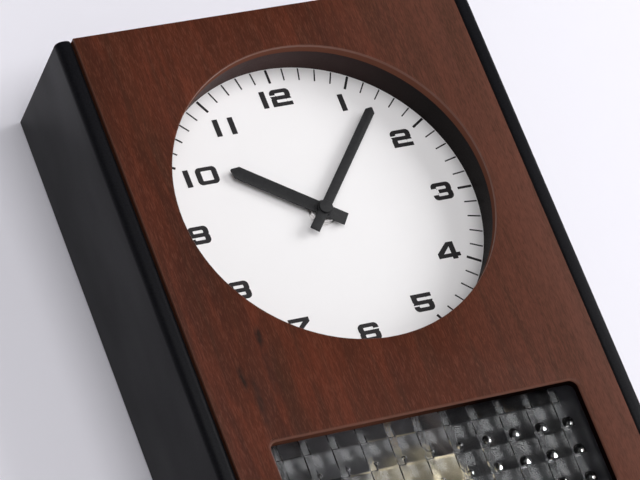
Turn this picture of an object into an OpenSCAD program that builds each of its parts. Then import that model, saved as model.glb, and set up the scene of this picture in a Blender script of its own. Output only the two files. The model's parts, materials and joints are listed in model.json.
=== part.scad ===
// Wall pendulum clock: dark case boards, a veneered front with a round dial opening and a glazed
// window, a quartz movement with its wheels, and a bob that swings behind patterned glass.
// X runs across the clock, +Y goes to the wall and +Z is up. The origin is under the middle.

/* [Case] */
// Width over the two side boards
case_w = 217; // [200:1:240]
// Height of the case
case_h = 340; // [310:1:380]
// Depth from the front of the panel to the wall
case_d = 74; // [70:1:95]
// Thickness of the side boards
side_t = 8.5; // [6:0.5:12]
// Thickness of the top and bottom boards
shelf_t = 9; // [6:0.5:12]
// Rounding along the outer front edges of the side boards
side_edge_r = 3.5; // [1:0.5:5]
// Thickness of the front panel
panel_t = 5.6; // [4:0.2:8]
// How far the panel stands in front of the side boards
panel_proud = 1; // [0.2:0.2:2]
// Gap between the panel and each side board
panel_gap = 0.3; // [0.1:0.1:0.5]
// Thickness of the back board
back_t = 3; // [2:0.5:5]
// Depth of the back board behind the rear edges of the case
back_recess = 2; // [2:0.5:5]
// Gap round the back board
back_gap = 0.4; // [0.1:0.1:0.8]
// Width of the access opening in the back board
access_w = 78; // [70:1:90]
// Height of the access opening
access_h = 156; // [130:1:160]
// Top of the access opening above the middle of the dial
access_rise = 32; // [26:1:34]
// Corner radius of the access opening
access_r = 8; // [3:1:15]
// Height of the hanging rail under the top board
rail_h = 36; // [34:1:44]
// Thickness of the hanging rail
rail_t = 12; // [8:1:16]
// Width of the glue blocks that carry the back board
block_w = 12; // [9:1:14]
// Depth of the glue blocks
block_d = 14; // [10:1:18]
// Height of the glue blocks
block_h = 30; // [20:1:40]

/* [Front openings] */
// Width of panel on each side of the dial opening, with its gap
hole_margin = 20; // [17:0.5:26]
// Width of panel on each side of the window, with its gap
window_margin = 20; // [17:0.5:30]
// Height of panel between the dial opening and the window
bridge_h = 39.5; // [34:0.5:44]
// Height of panel under the window
sill_h = 23; // [18:0.5:40]
// Corner radius of the window
window_r = 4; // [2:0.5:8]

/* [Dial] */
// How far the spacer ring stands back from the edge of the dial opening
ring_lip = 1.5; // [0:0.1:3]
// Wall of the spacer ring
ring_wall = 9; // [7:0.5:10]
// Gap between the spacer ring and the top board
ring_gap = 3; // [2:0.5:8]
// Length of the spacer ring
ring_l = 17.4; // [15:0.2:20]
// Thickness of the dial plate
dial_t = 1.5; // [1:0.1:2.5]
// Thickness of the printed film of marks and numerals
print_t = 0.2; // [0.1:0.05:0.3]
// Gap from the ring to the outer ends of the ticks
tick_gap = 0.5; // [0.2:0.1:2]
// Length of a minute tick
minute_tick_l = 6.6; // [4:0.2:7]
// Width of a minute tick
minute_tick_w = 0.65; // [0.4:0.05:1]
// Length of an hour tick
hour_tick_l = 7.5; // [5:0.1:8]
// Width of an hour tick
hour_tick_w = 1.2; // [0.8:0.1:2]
// Distance from the spacer ring to the middles of the numerals
numeral_inset = 16.9; // [15:0.1:20]
// Height of a numeral
numeral_h = 9.4; // [8:0.1:10]
// Width of a digit other than 1
numeral_w = 10.6; // [9:0.1:11]
// Width of the upright strokes
stroke_v = 2.7; // [1.6:0.1:3]
// Width of the level strokes
stroke_h = 2; // [1.2:0.1:2.2]
// Gap between the two digits of 12
digit_gap = 2.4; // [1.5:0.1:4]

/* [Hands] */
// Angle of the minute hand past twelve
minute_angle = 42; // [0:1:359]
// Angle of the hour hand past twelve
hour_angle = 307.5; // [0:0.5:359.5]
// Distance from the tip of the minute hand to the spacer ring
minute_reach = 16.1; // [8:0.1:30]
// Tail of the minute hand behind the middle
minute_tail = 13.9; // [8:0.1:18]
// Width of the minute hand
minute_w = 4.9; // [3:0.1:6]
// Length of the hour hand from the middle to its tip
hour_l = 48.4; // [35:0.2:52]
// Tail of the hour hand behind the middle
hour_tail = 11.7; // [8:0.1:16]
// Width of the hour hand
hour_w = 6.6; // [5:0.1:8]
// Thickness of both hands
hand_t = 0.8; // [0.4:0.1:1]
// Radius of the round boss of the hour hand
hour_boss_r = 4.8; // [3.6:0.1:6]
// Radius of the round boss of the minute hand
minute_boss_r = 3.9; // [2.8:0.1:5]
// Radius of the cap on the end of the minute arbor
cap_r = 3.4; // [2:0.1:4.5]
// Height of the cap
cap_h = 1.4; // [1:0.1:2]
// Gap along the arbor between the bush, the hour hand and the minute hand
hand_gap = 0.4; // [0.3:0.1:0.8]

/* [Patterned glass] */
// Thickness of the glass over its pads
glass_t = 4.5; // [3:0.1:6]
// Height of the pads on the back of the glass
pad_t = 1.2; // [0.5:0.1:1.8]
// Distance from one pad to the next
cell_pitch = 14.4; // [10:0.1:20]
// Width of the grooves between the pads
groove_w = 1.2; // [0.6:0.1:2]
// How far the pads are off the middle of the glass
cell_shift = 2; // [-5:0.5:5]
// First groove below the top edge of the window
first_row_drop = 6.6; // [4:0.1:10]
// How far the glass laps the panel round the window
glass_lap = 6; // [4:0.5:7]
// Height of a glass clip
clip_h = 12; // [8:1:16]
// Distance from the middle of a clip to the upper or lower edge of the window
clip_inset = 20; // [12:1:24]
// Sheet thickness of a glass clip
clip_t = 1.2; // [0.8:0.1:2]
// How far a clip laps the glass
clip_lap = 4; // [2:0.5:5]
// Length of the clip's foot beside the glass
clip_foot = 8; // [7:0.5:9]
// Gap between the foot and the edge of the glass
clip_gap = 0.5; // [0.3:0.1:1]

/* [Movement] */
// Top of the movement case above the hands' arbor
mv_rise = 24; // [22:1:26]
// Bottom of the movement case below the hands' arbor
mv_drop = 92; // [92:1:98]
// Depth of the movement case without its cover
mv_d = 18; // [17.6:0.2:22]
// Wall of the movement case and thickness of its cover
mv_wall = 2; // [1.6:0.1:2.4]
// Radius of the threaded bush through the dial
bush_r = 4; // [3.6:0.1:5]
// How far the bush reaches past the dial
bush_l = 2.6; // [2.6:0.1:3.2]
// Thickness of the washer under the nut
washer_t = 0.4; // [0.2:0.1:0.6]
// Radius of the washer
washer_r = 6.9; // [6:0.1:9]
// Width of the nut across its flats
nut_af = 11; // [10.5:0.1:12]
// Thickness of the nut
nut_t = 1.8; // [1.4:0.1:2]
// Radius of the minute arbor
arbor_r = 1; // [0.8:0.1:1.3]
// Wall of the hour wheel's pipe
pipe_wall = 0.9; // [0.6:0.1:1.1]
// Running clearance of shafts in their bores
run_gap = 0.05; // [0.02:0.01:0.08]
// Thickness of a wheel
wheel_t = 1.2; // [0.8:0.1:1.3]
// Gap between neighbouring wheels along their arbors
wheel_gap = 0.3; // [0.2:0.05:0.35]
// Distance from the minute arbor to the motion wheel
motion_dist = 12; // [11:0.2:12.4]
// Distance from the minute arbor to the third wheel
third_dist = 14; // [13.6:0.2:15]
// Distance from the third wheel to the motor pinion
motor_dist = 12; // [11.6:0.2:12.6]
// Radius of the arbor of the third wheel and of the motor
thin_arbor_r = 0.8; // [0.5:0.1:0.9]
// Gap between the motor can and the arbor of the third wheel
can_gap = 1.2; // [0.5:0.1:3]
// Radius of the setting shaft
set_shaft_r = 1.2; // [0.8:0.1:1.5]
// Radius of the setting knob
knob_r = 7; // [5:0.5:8]
// Length of the setting knob
knob_l = 6; // [4:0.5:10]
// Radius of the battery
cell_r = 7.25; // [7:0.05:7.3]
// Length of the battery with its end button
cell_l = 50.5; // [49:0.1:51]
// Gap between the motor can and the battery
cell_gap = 1.4; // [0.8:0.1:4]
// Room for a contact at each end of the battery
contact_room = 1.75; // [1.2:0.05:3]

/* [Pendulum] */
// Gap between the battery and the leader's hub
hub_gap = 4.3; // [2:0.1:6]
// Radius of the pivot pin
pivot_r = 1; // [0.8:0.1:1.4]
// Hanging peg below the bottom of the movement
peg_below = 6; // [4:0.5:12]
// Gap between the leader's magnet and the drive coil
air_gap = 2; // [1:0.1:3]
// Width of the leader that carries the rod
leader_w = 6; // [4:0.5:7]
// Thickness of the leader
leader_t = 2; // [1.4:0.1:2.4]
// Radius of the leader's magnet
magnet_r = 4; // [3:0.2:4.6]
// Middle of the bob below the hands' arbor
bob_drop = 150; // [146:1:160]
// Diameter of the bob
bob_d = 56; // [40:1:60]
// Thickness of the bob at its middle
bob_t = 6; // [5:0.5:8]
// Thickness of the bob at its rim
bob_rim_t = 3.4; // [3:0.1:4.4]
// Radius of the pendulum rod
rod_r = 1.2; // [0.8:0.1:1.2]
// Radius of the rating nut under the bob
rating_r = 4.5; // [3:0.5:6]
// Height of the rating nut
rating_h = 4; // [3:0.5:6]

/* [Hidden] */
$fn = 96;

// Depth positions, from the front of the panel to the wall
front_y = -case_d / 2;
back_y = case_d / 2;
side_front_y = front_y + panel_proud;
panel_back_y = front_y + panel_t;
dial_y = panel_back_y + ring_l;
dial_back_y = dial_y + dial_t;
board_back_y = back_y - back_recess;
board_front_y = board_back_y - back_t;
glass_back_y = panel_back_y + glass_t;

// Widths and heights of the case
inner_w = case_w - 2 * side_t;
panel_w = inner_w - 2 * panel_gap;
hole_d = inner_w - 2 * hole_margin;
ring_r = hole_d / 2 + ring_lip;
ring_outer_r = ring_r + ring_wall;
dial_z = case_h - shelf_t - ring_gap - ring_outer_r;
window_w = inner_w - 2 * window_margin;
window_top_z = dial_z - hole_d / 2 - bridge_h;
window_h = window_top_z - sill_h;
window_z = window_top_z - window_h / 2;
board_w = inner_w - 2 * back_gap;
board_h = case_h - 2 * shelf_t - 2 * back_gap;
glass_w = window_w + 2 * glass_lap;
glass_h = window_h + 2 * glass_lap;
rail_top_z = case_h - shelf_t;
rail_z = rail_top_z - rail_h / 2;
access_top_z = dial_z + access_rise;
access_z = access_top_z - access_h / 2;
numeral_r = ring_r - numeral_inset;
minute_l = ring_r - minute_reach;

// Keyhole in the hanger plate, in the middle of the hanging rail
hanger_w = 44;
hanger_h = 30;
hanger_t = 1.5;
key_head_r = 5;
key_slot_w = 5;
key_rise = 9;
key_room_w = 12;
key_room_h = 22;
key_room_d = 5;
hanger_screw_x = 17;
sunk_r = 2.1;
sunk_h = 1.2;

// Round-head screws: radius and height of the head, radius and length of the shank
screw_head_r = 2.6;
screw_head_h = 1.3;
screw_r = 1.3;
screw_l = 10;
small_head_r = 2;
small_head_h = 1.1;
small_r = 0.9;
back_screw_l = 11;
dial_screw_r = ring_r + ring_wall / 2;

// Places of the back board's screws and of the blocks behind them
block_x = inner_w / 2 - block_w / 2;
low_block_z = shelf_t + block_h / 2;
mid_block_z = case_h * 0.5;
rail_screw_x = inner_w / 2 - block_w;

// Movement: inner faces, wheel layers and arbor places seen from the hands' arbor
mv_front_y = dial_back_y;
mv_in_y = mv_front_y + mv_wall;
mv_back_y = mv_front_y + mv_d;
cover_back_y = mv_back_y + mv_wall;
layer_y = [for (i = [0 : 3]) mv_in_y + wheel_gap + i * (wheel_t + wheel_gap)];
can_front_y = layer_y[3] + wheel_t + wheel_gap;
socket_d = 1.2;
end_gap = 0.2;
mv_w = cell_l + 2 * contact_room + 2 * mv_wall;
can_r = motor_dist - thin_arbor_r - can_gap;
bush_front_y = dial_y - bush_l;
bush_gap = 0.1;
hour_boss_rise = 0.4;
minute_boss_rise = 0.2;
hour_lip = 0.3;
pipe_in_r = arbor_r + run_gap;
pipe_r = pipe_in_r + pipe_wall;
bush_in_r = pipe_r + run_gap;
hour_back_y = bush_front_y - hand_gap;
hour_front_y = hour_back_y - hand_t - hour_boss_rise;
minute_back_y = hour_front_y - hand_gap;
minute_front_y = minute_back_y - hand_t - minute_boss_rise;
cap_front_y = minute_front_y - cap_h;
post_r = 3;
post_bite = 0.5;
post_x = mv_w / 2 - mv_wall - post_r + post_bite;
post_top = mv_rise - mv_wall - post_r + post_bite;
post_bottom = -mv_drop + mv_wall + post_r - post_bite;

// Tooth counts
cannon_n = 10;
motion_n = 30;
motion_pinion_n = 10;
hour_n = 40;
set_n = 10;
centre_n = 48;
third_pinion_n = 8;
third_n = 40;
motor_n = 8;

// Directions in degrees, anticlockwise from +X seen from the front
motion_dir = 135;
set_dir = 200;
third_dir = -35;
motor_dir = -110;
motion_at = polar(motion_dist, motion_dir);
set_at = motion_at + polar(motion_dist, set_dir);
third_at = polar(third_dist, third_dir);
motor_at = third_at + polar(motor_dist, motor_dir);

// Modules of the five meshes, from their centre distances
cannon_m = 2 * motion_dist / (cannon_n + motion_n);
hour_m = 2 * motion_dist / (motion_pinion_n + hour_n);
centre_m = 2 * third_dist / (centre_n + third_pinion_n);
third_m = 2 * motor_dist / (third_n + motor_n);

// Tooth form as shares of the module and of half a tooth pitch
tooth_add = 0.7;
tooth_ded = 1.25;
tooth_fill = 0.85;
tooth_tip = 0.45;
tooth_root = 1.15;

// Battery, with its cover window
cell_play = 0.3;
cell_drop = can_r - motor_at[1] + cell_gap + cell_r;
cell_y = mv_in_y + 0.4 + cell_r;
contact_w = 10;
contact_t = 0.5;
contact_r = 2.4;
button_r = 2.75;
button_l = 1.3;

// Pendulum drive: the magnet swings in front of the coil
coil_r = 9;
coil_in_r = 3;
coil_t = 3;
coil_gap = 2;
pcb_t = 1;
pcb_edge = 5;
pcb_front_y = mv_back_y - pcb_t;
coil_front_y = pcb_front_y - coil_t;
magnet_t = 3;
magnet_rim = 1.6;
magnet_drop = mv_drop - mv_wall - coil_r - coil_gap;
magnet_seat_r = magnet_r + magnet_rim;

// Pendulum: the rod hangs behind the leader, on its peg
leader_mid_y = coil_front_y - air_gap - magnet_t / 2;
leader_front_y = leader_mid_y - leader_t / 2;
leader_back_y = leader_front_y + leader_t;
hub_l = 6;
hub_wall = 2.4;
hub_front_y = leader_mid_y - hub_l / 2;
hub_r = pivot_r + run_gap + hub_wall;
pivot_drop = cell_drop + cell_r + hub_gap + hub_r;
peg_drop = mv_drop + peg_below;
eye_t = 1.6;
eye_wall = 1.8;
peg_r = 1.2;
peg_gap = 0.1;
eye_drop = peg_drop + peg_gap;
eye_r = peg_r + peg_gap + eye_wall;
rod_gap = 0.3;
rod_y = leader_back_y + rod_gap + rod_r;
collar_r = pivot_r + 1;
peg_head_r = peg_r + 0.8;
peg_head_t = 0.8;
peg_back_y = rod_y + eye_t / 2 + end_gap;
swing_room = 9.4;
slot_w = 2 * (magnet_seat_r + swing_room);
slot_front_y = hub_front_y;
slot_back_y = leader_back_y + 2.5;
bob_r = bob_d / 2;
nut_top_drop = bob_drop + bob_r;
rod_tail = 5;
rod_end_drop = nut_top_drop + rating_h + rod_tail;

// Places and shapes

function polar(r, a) = [r * cos(a), r * sin(a)];

// A plate between two depths, from an outline drawn as seen from the front
module slab(y0, y1) {
  translate([0, y1, 0]) rotate([90, 0, 0]) linear_extrude(height = y1 - y0) children();
}

module at_dial() {
  translate([0, 0, dial_z]) children();
}

module round_rect(w, h, r) {
  square([w - 2 * r, h], center = true);
  square([w, h - 2 * r], center = true);
  for (x = [-1, 1], y = [-1, 1])
    translate([x * (w / 2 - r), y * (h / 2 - r)]) circle(r);
}

// A round-head screw that points to the front, its head's underside at depth y
module screw(at, y, head_r, head_h, r, l) {
  translate([at[0], 0, at[1]]) {
    slab(y, y + head_h) circle(head_r, $fn = 32);
    slab(y - l, y) circle(r, $fn = 32);
  }
}

// Outline of a toothed wheel, with the middle of one tooth at the angle phase
function tooth(n, m, a) = let (r = n * m / 2, half = 90 / n * tooth_fill) [
  polar(r - tooth_ded * m, a - half * tooth_root),
  polar(r, a - half),
  polar(r + tooth_add * m, a - half * tooth_tip),
  polar(r + tooth_add * m, a + half * tooth_tip),
  polar(r, a + half),
  polar(r - tooth_ded * m, a + half * tooth_root)
];

module gear(n, m, phase) {
  polygon([for (i = [0 : n - 1]) each tooth(n, m, phase + i * 360 / n)]);
}

// Phase of a wheel that meshes at direction dir with one whose own phase is known
function mesh_phase(n, n_other, phase_other, dir) =
  dir + 180 + 180 / n + (dir - phase_other) * n_other / n;

cannon_phase = motion_dir;
motion_phase = mesh_phase(motion_n, cannon_n, cannon_phase, motion_dir);
set_phase = mesh_phase(set_n, motion_n, motion_phase, set_dir);
hour_phase = motion_dir;
motion_pinion_phase = mesh_phase(motion_pinion_n, hour_n, hour_phase, motion_dir);
centre_phase = third_dir;
third_pinion_phase = mesh_phase(third_pinion_n, centre_n, centre_phase, third_dir);
third_phase = motor_dir;
motor_phase = mesh_phase(motor_n, third_n, third_phase, motor_dir);

// Case

module side_board(side) {
  mirror([side > 0 ? 1 : 0, 0, 0]) translate([-case_w / 2, 0, 0]) linear_extrude(height = case_h) {
    translate([0, side_front_y + side_edge_r]) square([side_t, case_d - panel_proud - side_edge_r]);
    translate([side_edge_r, side_front_y]) square([side_t - side_edge_r, side_edge_r]);
    intersection() {
      translate([side_edge_r, side_front_y + side_edge_r]) circle(side_edge_r);
      translate([0, side_front_y]) square(side_edge_r);
    }
  }
}

module left_side_board() color([0.16, 0.16, 0.17]) side_board(-1);

module right_side_board() color([0.16, 0.16, 0.17]) side_board(1);

module shelf(z) {
  translate([-inner_w / 2, panel_back_y, z]) cube([inner_w, back_y - panel_back_y, shelf_t]);
}

module top_board() color([0.16, 0.16, 0.17]) shelf(case_h - shelf_t);

module bottom_board() color([0.16, 0.16, 0.17]) shelf(0);

module front_panel() color([0.36, 0.19, 0.13]) difference() {
  slab(front_y, panel_back_y) difference() {
    translate([0, case_h / 2]) square([panel_w, case_h], center = true);
    translate([0, dial_z]) circle(d = hole_d, $fn = 180);
    translate([0, window_z]) round_rect(window_w, window_h, window_r);
  }
  clip_screw_holes();
}

module back_board() color([0.55, 0.45, 0.34]) difference() {
  slab(board_front_y, board_back_y) difference() {
    translate([0, case_h / 2]) square([board_w, board_h], center = true);
    translate([0, access_z]) round_rect(access_w, access_h, access_r);
    translate([0, rail_z]) square([key_room_w, key_room_h], center = true);
  }
  back_screw_holes();
  hanger_screw_holes();
}

module hanging_rail() color([0.62, 0.5, 0.36]) difference() {
  slab(board_front_y - rail_t, board_front_y) translate([0, rail_z])
    square([inner_w, rail_h], center = true);
  slab(board_front_y - key_room_d, board_front_y + 1) translate([0, rail_z])
    square([key_room_w, key_room_h], center = true);
  back_screw_holes();
  hanger_screw_holes();
}

module glue_blocks() color([0.62, 0.5, 0.36]) difference() {
  for (x = [-block_x, block_x], z = [low_block_z, mid_block_z])
    slab(board_front_y - block_d, board_front_y) translate([x, z])
      square([block_w, block_h], center = true);
  back_screw_holes();
}

back_screw_at = [
  for (s = [-1, 1]) each [
    [s * block_x, low_block_z], [s * block_x, mid_block_z], [s * rail_screw_x, rail_z]
  ]
];

module back_screw_holes() {
  for (at = back_screw_at)
    slab(board_back_y - back_screw_l, board_back_y + 1) translate(at) circle(screw_r, $fn = 32);
}

module back_screws() color("silver") for (at = back_screw_at)
  screw(at, board_back_y, screw_head_r, screw_head_h, screw_r, back_screw_l);

// Hanger

module keyhole() {
  translate([0, -key_rise / 2]) circle(key_head_r);
  translate([-key_slot_w / 2, -key_rise / 2]) square([key_slot_w, key_rise]);
  translate([0, key_rise / 2]) circle(key_slot_w / 2);
}

module hanger_plate() color("silver") difference() {
  slab(board_back_y, board_back_y + hanger_t) translate([0, rail_z]) difference() {
    round_rect(hanger_w, hanger_h, 3);
    keyhole();
  }
  hanger_screw_holes();
}

// The hanger's screws are countersunk, so their heads end level with the plate
module countersunk_screw() {
  slab(board_back_y - screw_l, board_back_y + hanger_t) circle(small_r, $fn = 48);
  translate([0, board_back_y + hanger_t - sunk_h, 0]) rotate([-90, 0, 0])
    cylinder(h = sunk_h, r1 = small_r, r2 = sunk_r, $fn = 48);
}

module hanger_screws() color("silver") for (x = [-hanger_screw_x, hanger_screw_x])
  translate([x, 0, rail_z]) countersunk_screw();

module hanger_screw_holes() hanger_screws();

// Dial

module dial_ring() color([0.2, 0.14, 0.14]) difference() {
  slab(panel_back_y, dial_y) translate([0, dial_z]) difference() {
    circle(ring_outer_r, $fn = 180);
    circle(ring_r, $fn = 180);
  }
  dial_screw_holes();
}

module dial_plate() color([0.95, 0.95, 0.94]) difference() {
  slab(dial_y, dial_back_y) translate([0, dial_z]) difference() {
    circle(ring_outer_r, $fn = 180);
    circle(bush_r + bush_gap);
  }
  dial_screw_holes();
}

dial_screw_at = [for (a = [45 : 90 : 315]) polar(dial_screw_r, a)];
dial_screw_l = 8;

module dial_screw_holes() {
  at_dial() for (at = dial_screw_at)
    slab(dial_back_y - dial_screw_l, dial_back_y + 1) translate(at) circle(small_r, $fn = 32);
}

module dial_screws() color("silver") at_dial() for (at = dial_screw_at)
  screw(at, dial_back_y, small_head_r, small_head_h, small_r, dial_screw_l);

module ticks() {
  for (i = [0 : 59]) rotate(-6 * i) {
    l = i % 5 == 0 ? hour_tick_l : minute_tick_l;
    w = i % 5 == 0 ? hour_tick_w : minute_tick_w;
    translate([-w / 2, ring_r - tick_gap - l]) square([w, l]);
  }
}

// Digits: each is two loops over one another, with parts of their uprights left out
loop_h = (numeral_h + stroke_h) / 2;
corner_r = 2.3;
inner_corner_r = 0.5;
stub_h = 0.9;

module ring_box(w, h) {
  difference() {
    round_rect(w, h, corner_r);
    round_rect(w - 2 * stroke_v, h - 2 * stroke_h, inner_corner_r);
  }
}

// The upper loop (half 1) or the lower one (half -1)
module loop(half) {
  translate([0, half * (numeral_h - loop_h) / 2]) ring_box(numeral_w, loop_h);
}

// Takes out an upright: side is -1 or 1, and a stub of the given height stays at the loop's end
module open_side(side, half, stub) {
  free_h = numeral_h / 2 - stroke_h * 1.5 - stub;
  translate([side * numeral_w / 2, half * (stroke_h / 2 + free_h / 2)])
    square([2 * stroke_v, free_h], center = true);
}

module level_bar(z) {
  translate([0, z]) square([numeral_w, stroke_h], center = true);
}

module digit_0() ring_box(numeral_w + 0.4, numeral_h);

module digit_1() square([stroke_v, numeral_h], center = true);

module digit_2() {
  difference() {
    loop(1);
    open_side(-1, 1, stub_h);
  }
  difference() {
    loop(-1);
    open_side(1, -1, 0);
  }
  level_bar(-(numeral_h - stroke_h) / 2);
}

module digit_3() difference() {
  union() {
    loop(1);
    loop(-1);
  }
  open_side(-1, 1, stub_h);
  open_side(-1, -1, stub_h);
  translate([-numeral_w / 2, 0]) square([0.66 * numeral_w, stroke_h + 0.02], center = true);
}

module digit_4() {
  foot_z = -numeral_h / 2 + 1.2;
  foot_x = -0.55 * numeral_w;
  stem_x = 0.12 * numeral_w;
  translate([stem_x, -numeral_h / 2]) square([stroke_v, numeral_h]);
  translate([foot_x, foot_z]) square([1.1 * numeral_w, stroke_h]);
  polygon([
    [foot_x, foot_z], [foot_x, foot_z + stroke_h + 0.7],
    [stem_x - 0.9, numeral_h / 2], [stem_x + stroke_v, numeral_h / 2],
    [stem_x + stroke_v, numeral_h / 2 - stroke_h], [stem_x + 0.3, numeral_h / 2 - stroke_h],
    [foot_x + 3, foot_z + stroke_h - 0.1], [foot_x + 1.6, foot_z]
  ]);
}

module digit_5() {
  difference() {
    loop(1);
    open_side(1, 1, 0);
  }
  difference() {
    loop(-1);
    open_side(-1, -1, stub_h);
  }
  level_bar((numeral_h - stroke_h) / 2);
}

module digit_6() {
  difference() {
    loop(1);
    open_side(1, 1, stub_h);
  }
  loop(-1);
}

module digit_7() {
  level_bar((numeral_h - stroke_h) / 2);
  polygon([
    [numeral_w / 2, numeral_h / 2], [numeral_w / 2, numeral_h / 2 - 2.4],
    [0.1 * numeral_w, -0.1 * numeral_h], [-0.02 * numeral_w, -numeral_h / 2],
    [-0.02 * numeral_w - 3, -numeral_h / 2], [-0.16 * numeral_w, -0.06 * numeral_h],
    [numeral_w / 2 - 3.4, numeral_h / 2 - stroke_h], [numeral_w / 2 - 3.4, numeral_h / 2]
  ]);
}

module digit_8() {
  loop(1);
  loop(-1);
}

module digit_9() {
  loop(1);
  difference() {
    loop(-1);
    open_side(-1, -1, stub_h);
  }
}

// A numeral that starts with 1: w is the second digit's width
module with_one(w, gap) {
  total = stroke_v + gap + w;
  translate([-total / 2 + stroke_v / 2, 0]) digit_1();
  translate([total / 2 - w / 2, 0]) children();
}

// The numeral of an hour upright at its place; inset draws it nearer the middle of the dial
module numeral_at(hour, inset) {
  translate(polar(numeral_r - inset, 90 - 30 * hour)) children();
}

module numerals() {
  numeral_at(1, -0.8) digit_1();
  numeral_at(2, 0.7) digit_2();
  numeral_at(3, -0.4) digit_3();
  numeral_at(4, 0.7) digit_4();
  numeral_at(5, 0) digit_5();
  numeral_at(6, -1.1) digit_6();
  numeral_at(7, -0.5) digit_7();
  numeral_at(8, 0.8) digit_8();
  numeral_at(9, 0) digit_9();
  numeral_at(10, 4.1) with_one(numeral_w + 0.4, 1.4 * digit_gap) digit_0();
  numeral_at(11, 1.9) with_one(stroke_v, 2.2 * digit_gap) digit_1();
  numeral_at(12, -0.4) with_one(numeral_w, digit_gap) digit_2();
}

module dial_markings() color([0.12, 0.12, 0.12]) at_dial() slab(dial_y - print_t, dial_y) {
  ticks();
  numerals();
}

// Window

module patterned_glass() color([0.8, 0.85, 0.88, 0.6]) {
  slab(panel_back_y, glass_back_y - pad_t) translate([0, window_z])
    square([glass_w, glass_h], center = true);
  cols = floor((glass_w / 2 - abs(cell_shift)) / cell_pitch - 0.5);
  rows = floor((window_h + glass_lap - first_row_drop) / cell_pitch);
  slab(glass_back_y - pad_t, glass_back_y)
    for (i = [-cols : cols], j = [0 : rows - 1])
      translate([cell_shift + i * cell_pitch, window_top_z - first_row_drop - (j + 0.5) * cell_pitch])
        square(cell_pitch - groove_w, center = true);
}

// A clip: its foot lies on the panel beside the glass and its tongue laps the glass
clip_z = window_h / 2 - clip_inset;
clip_in_x = glass_w / 2 + clip_gap;
clip_out_x = clip_in_x + clip_foot;
clip_screw_x = (clip_in_x + clip_out_x) / 2;

module clip_outline(x0, x1) {
  for (side = [-1, 1], z = [-clip_z, clip_z])
    translate([side * (x0 + x1) / 2, window_z + z]) square([x1 - x0, clip_h], center = true);
}

module glass_clips() color("silver") difference() {
  union() {
    slab(panel_back_y, glass_back_y + clip_t)
      clip_outline(clip_in_x, clip_out_x);
    slab(glass_back_y, glass_back_y + clip_t)
      clip_outline(glass_w / 2 - clip_lap, clip_out_x);
  }
  clip_screw_holes();
}

clip_screw_at = [for (side = [-1, 1], z = [-clip_z, clip_z]) [side * clip_screw_x, window_z + z]];
clip_bite = 3;

module clip_screw_holes() {
  for (at = clip_screw_at)
    slab(panel_back_y - clip_bite, glass_back_y + clip_t + 1) translate(at)
      circle(small_r, $fn = 32);
}

module clip_screws() color("silver") for (at = clip_screw_at)
  screw(at, glass_back_y + clip_t, small_head_r, small_head_h, small_r,
    glass_t + clip_t + clip_bite);

// Movement

module mv_outline(inset) {
  translate([-mv_w / 2 + inset, -mv_drop + inset])
    square([mv_w - 2 * inset, mv_rise + mv_drop - 2 * inset]);
}

module post_places() {
  for (x = [-post_x, post_x], z = [post_top, post_bottom]) translate([x, z]) children();
}

module movement_case() color([0.2, 0.2, 0.22]) at_dial() difference() {
  union() {
    slab(mv_front_y, mv_back_y) difference() {
      mv_outline(0);
      mv_outline(mv_wall);
    }
    slab(mv_front_y, mv_in_y) mv_outline(mv_wall / 2);
    slab(mv_in_y, mv_back_y) post_places() circle(post_r, $fn = 48);
    slab(mv_in_y, layer_y[1] + wheel_t) translate(motion_at) circle(thin_arbor_r, $fn = 48);
  }
  slab(mv_front_y - 1, mv_in_y + 1) circle(bush_r);
  slab(mv_in_y - socket_d, mv_in_y + 1) {
    translate(third_at) circle(thin_arbor_r + run_gap, $fn = 48);
    translate(set_at) circle(set_shaft_r + run_gap, $fn = 48);
    translate([0, -pivot_drop]) circle(pivot_r, $fn = 48);
  }
  slab(mv_back_y - cover_screw_l + mv_wall, mv_back_y + 1) post_places() circle(small_r, $fn = 32);
  slab(slot_front_y, slot_back_y) translate([-slot_w / 2, -mv_drop - 1])
    square([slot_w, mv_wall + 2]);
}

cover_screw_l = 9;

module movement_cover() color([0.2, 0.2, 0.22]) at_dial() difference() {
  slab(mv_back_y, cover_back_y) difference() {
    mv_outline(0);
    translate([0, -cell_drop])
      square([cell_l + 2 * cell_play, 2 * (cell_r + cell_play)], center = true);
    translate(set_at) circle(set_shaft_r + run_gap, $fn = 48);
    translate([0, -pivot_drop]) circle(pivot_r, $fn = 48);
  }
  slab(mv_back_y - 1, mv_back_y + socket_d) {
    circle(arbor_r + run_gap, $fn = 48);
    translate(third_at) circle(thin_arbor_r + run_gap, $fn = 48);
  }
  slab(mv_back_y - 1, cover_back_y + 1) post_places() circle(small_r, $fn = 32);
}

module cover_screws() color("silver") at_dial() for (x = [-post_x, post_x], z = [post_top, post_bottom])
  screw([x, z], cover_back_y, small_head_r, small_head_h, small_r, cover_screw_l);

module movement_bush() color([0.8, 0.68, 0.4]) at_dial() slab(bush_front_y, mv_in_y) difference() {
  circle(bush_r);
  circle(bush_in_r);
}

module bush_washer() color("silver") at_dial() slab(dial_y - washer_t, dial_y) difference() {
  circle(washer_r);
  circle(bush_r + bush_gap);
}

module bush_nut() color("silver") at_dial()
  slab(dial_y - washer_t - nut_t, dial_y - washer_t) difference() {
    circle(nut_af / 2 / cos(30), $fn = 6);
    circle(bush_r);
  }

// Arbor with the centre wheel, the cannon pinion and the seat of the minute hand
module minute_arbor() color([0.8, 0.68, 0.4]) at_dial() {
  slab(minute_front_y - cap_h / 2, mv_back_y + socket_d - end_gap) circle(arbor_r, $fn = 48);
  slab(layer_y[1], layer_y[1] + wheel_t) gear(cannon_n, cannon_m, cannon_phase);
  slab(layer_y[2], layer_y[2] + wheel_t) gear(centre_n, centre_m, centre_phase);
}

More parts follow.
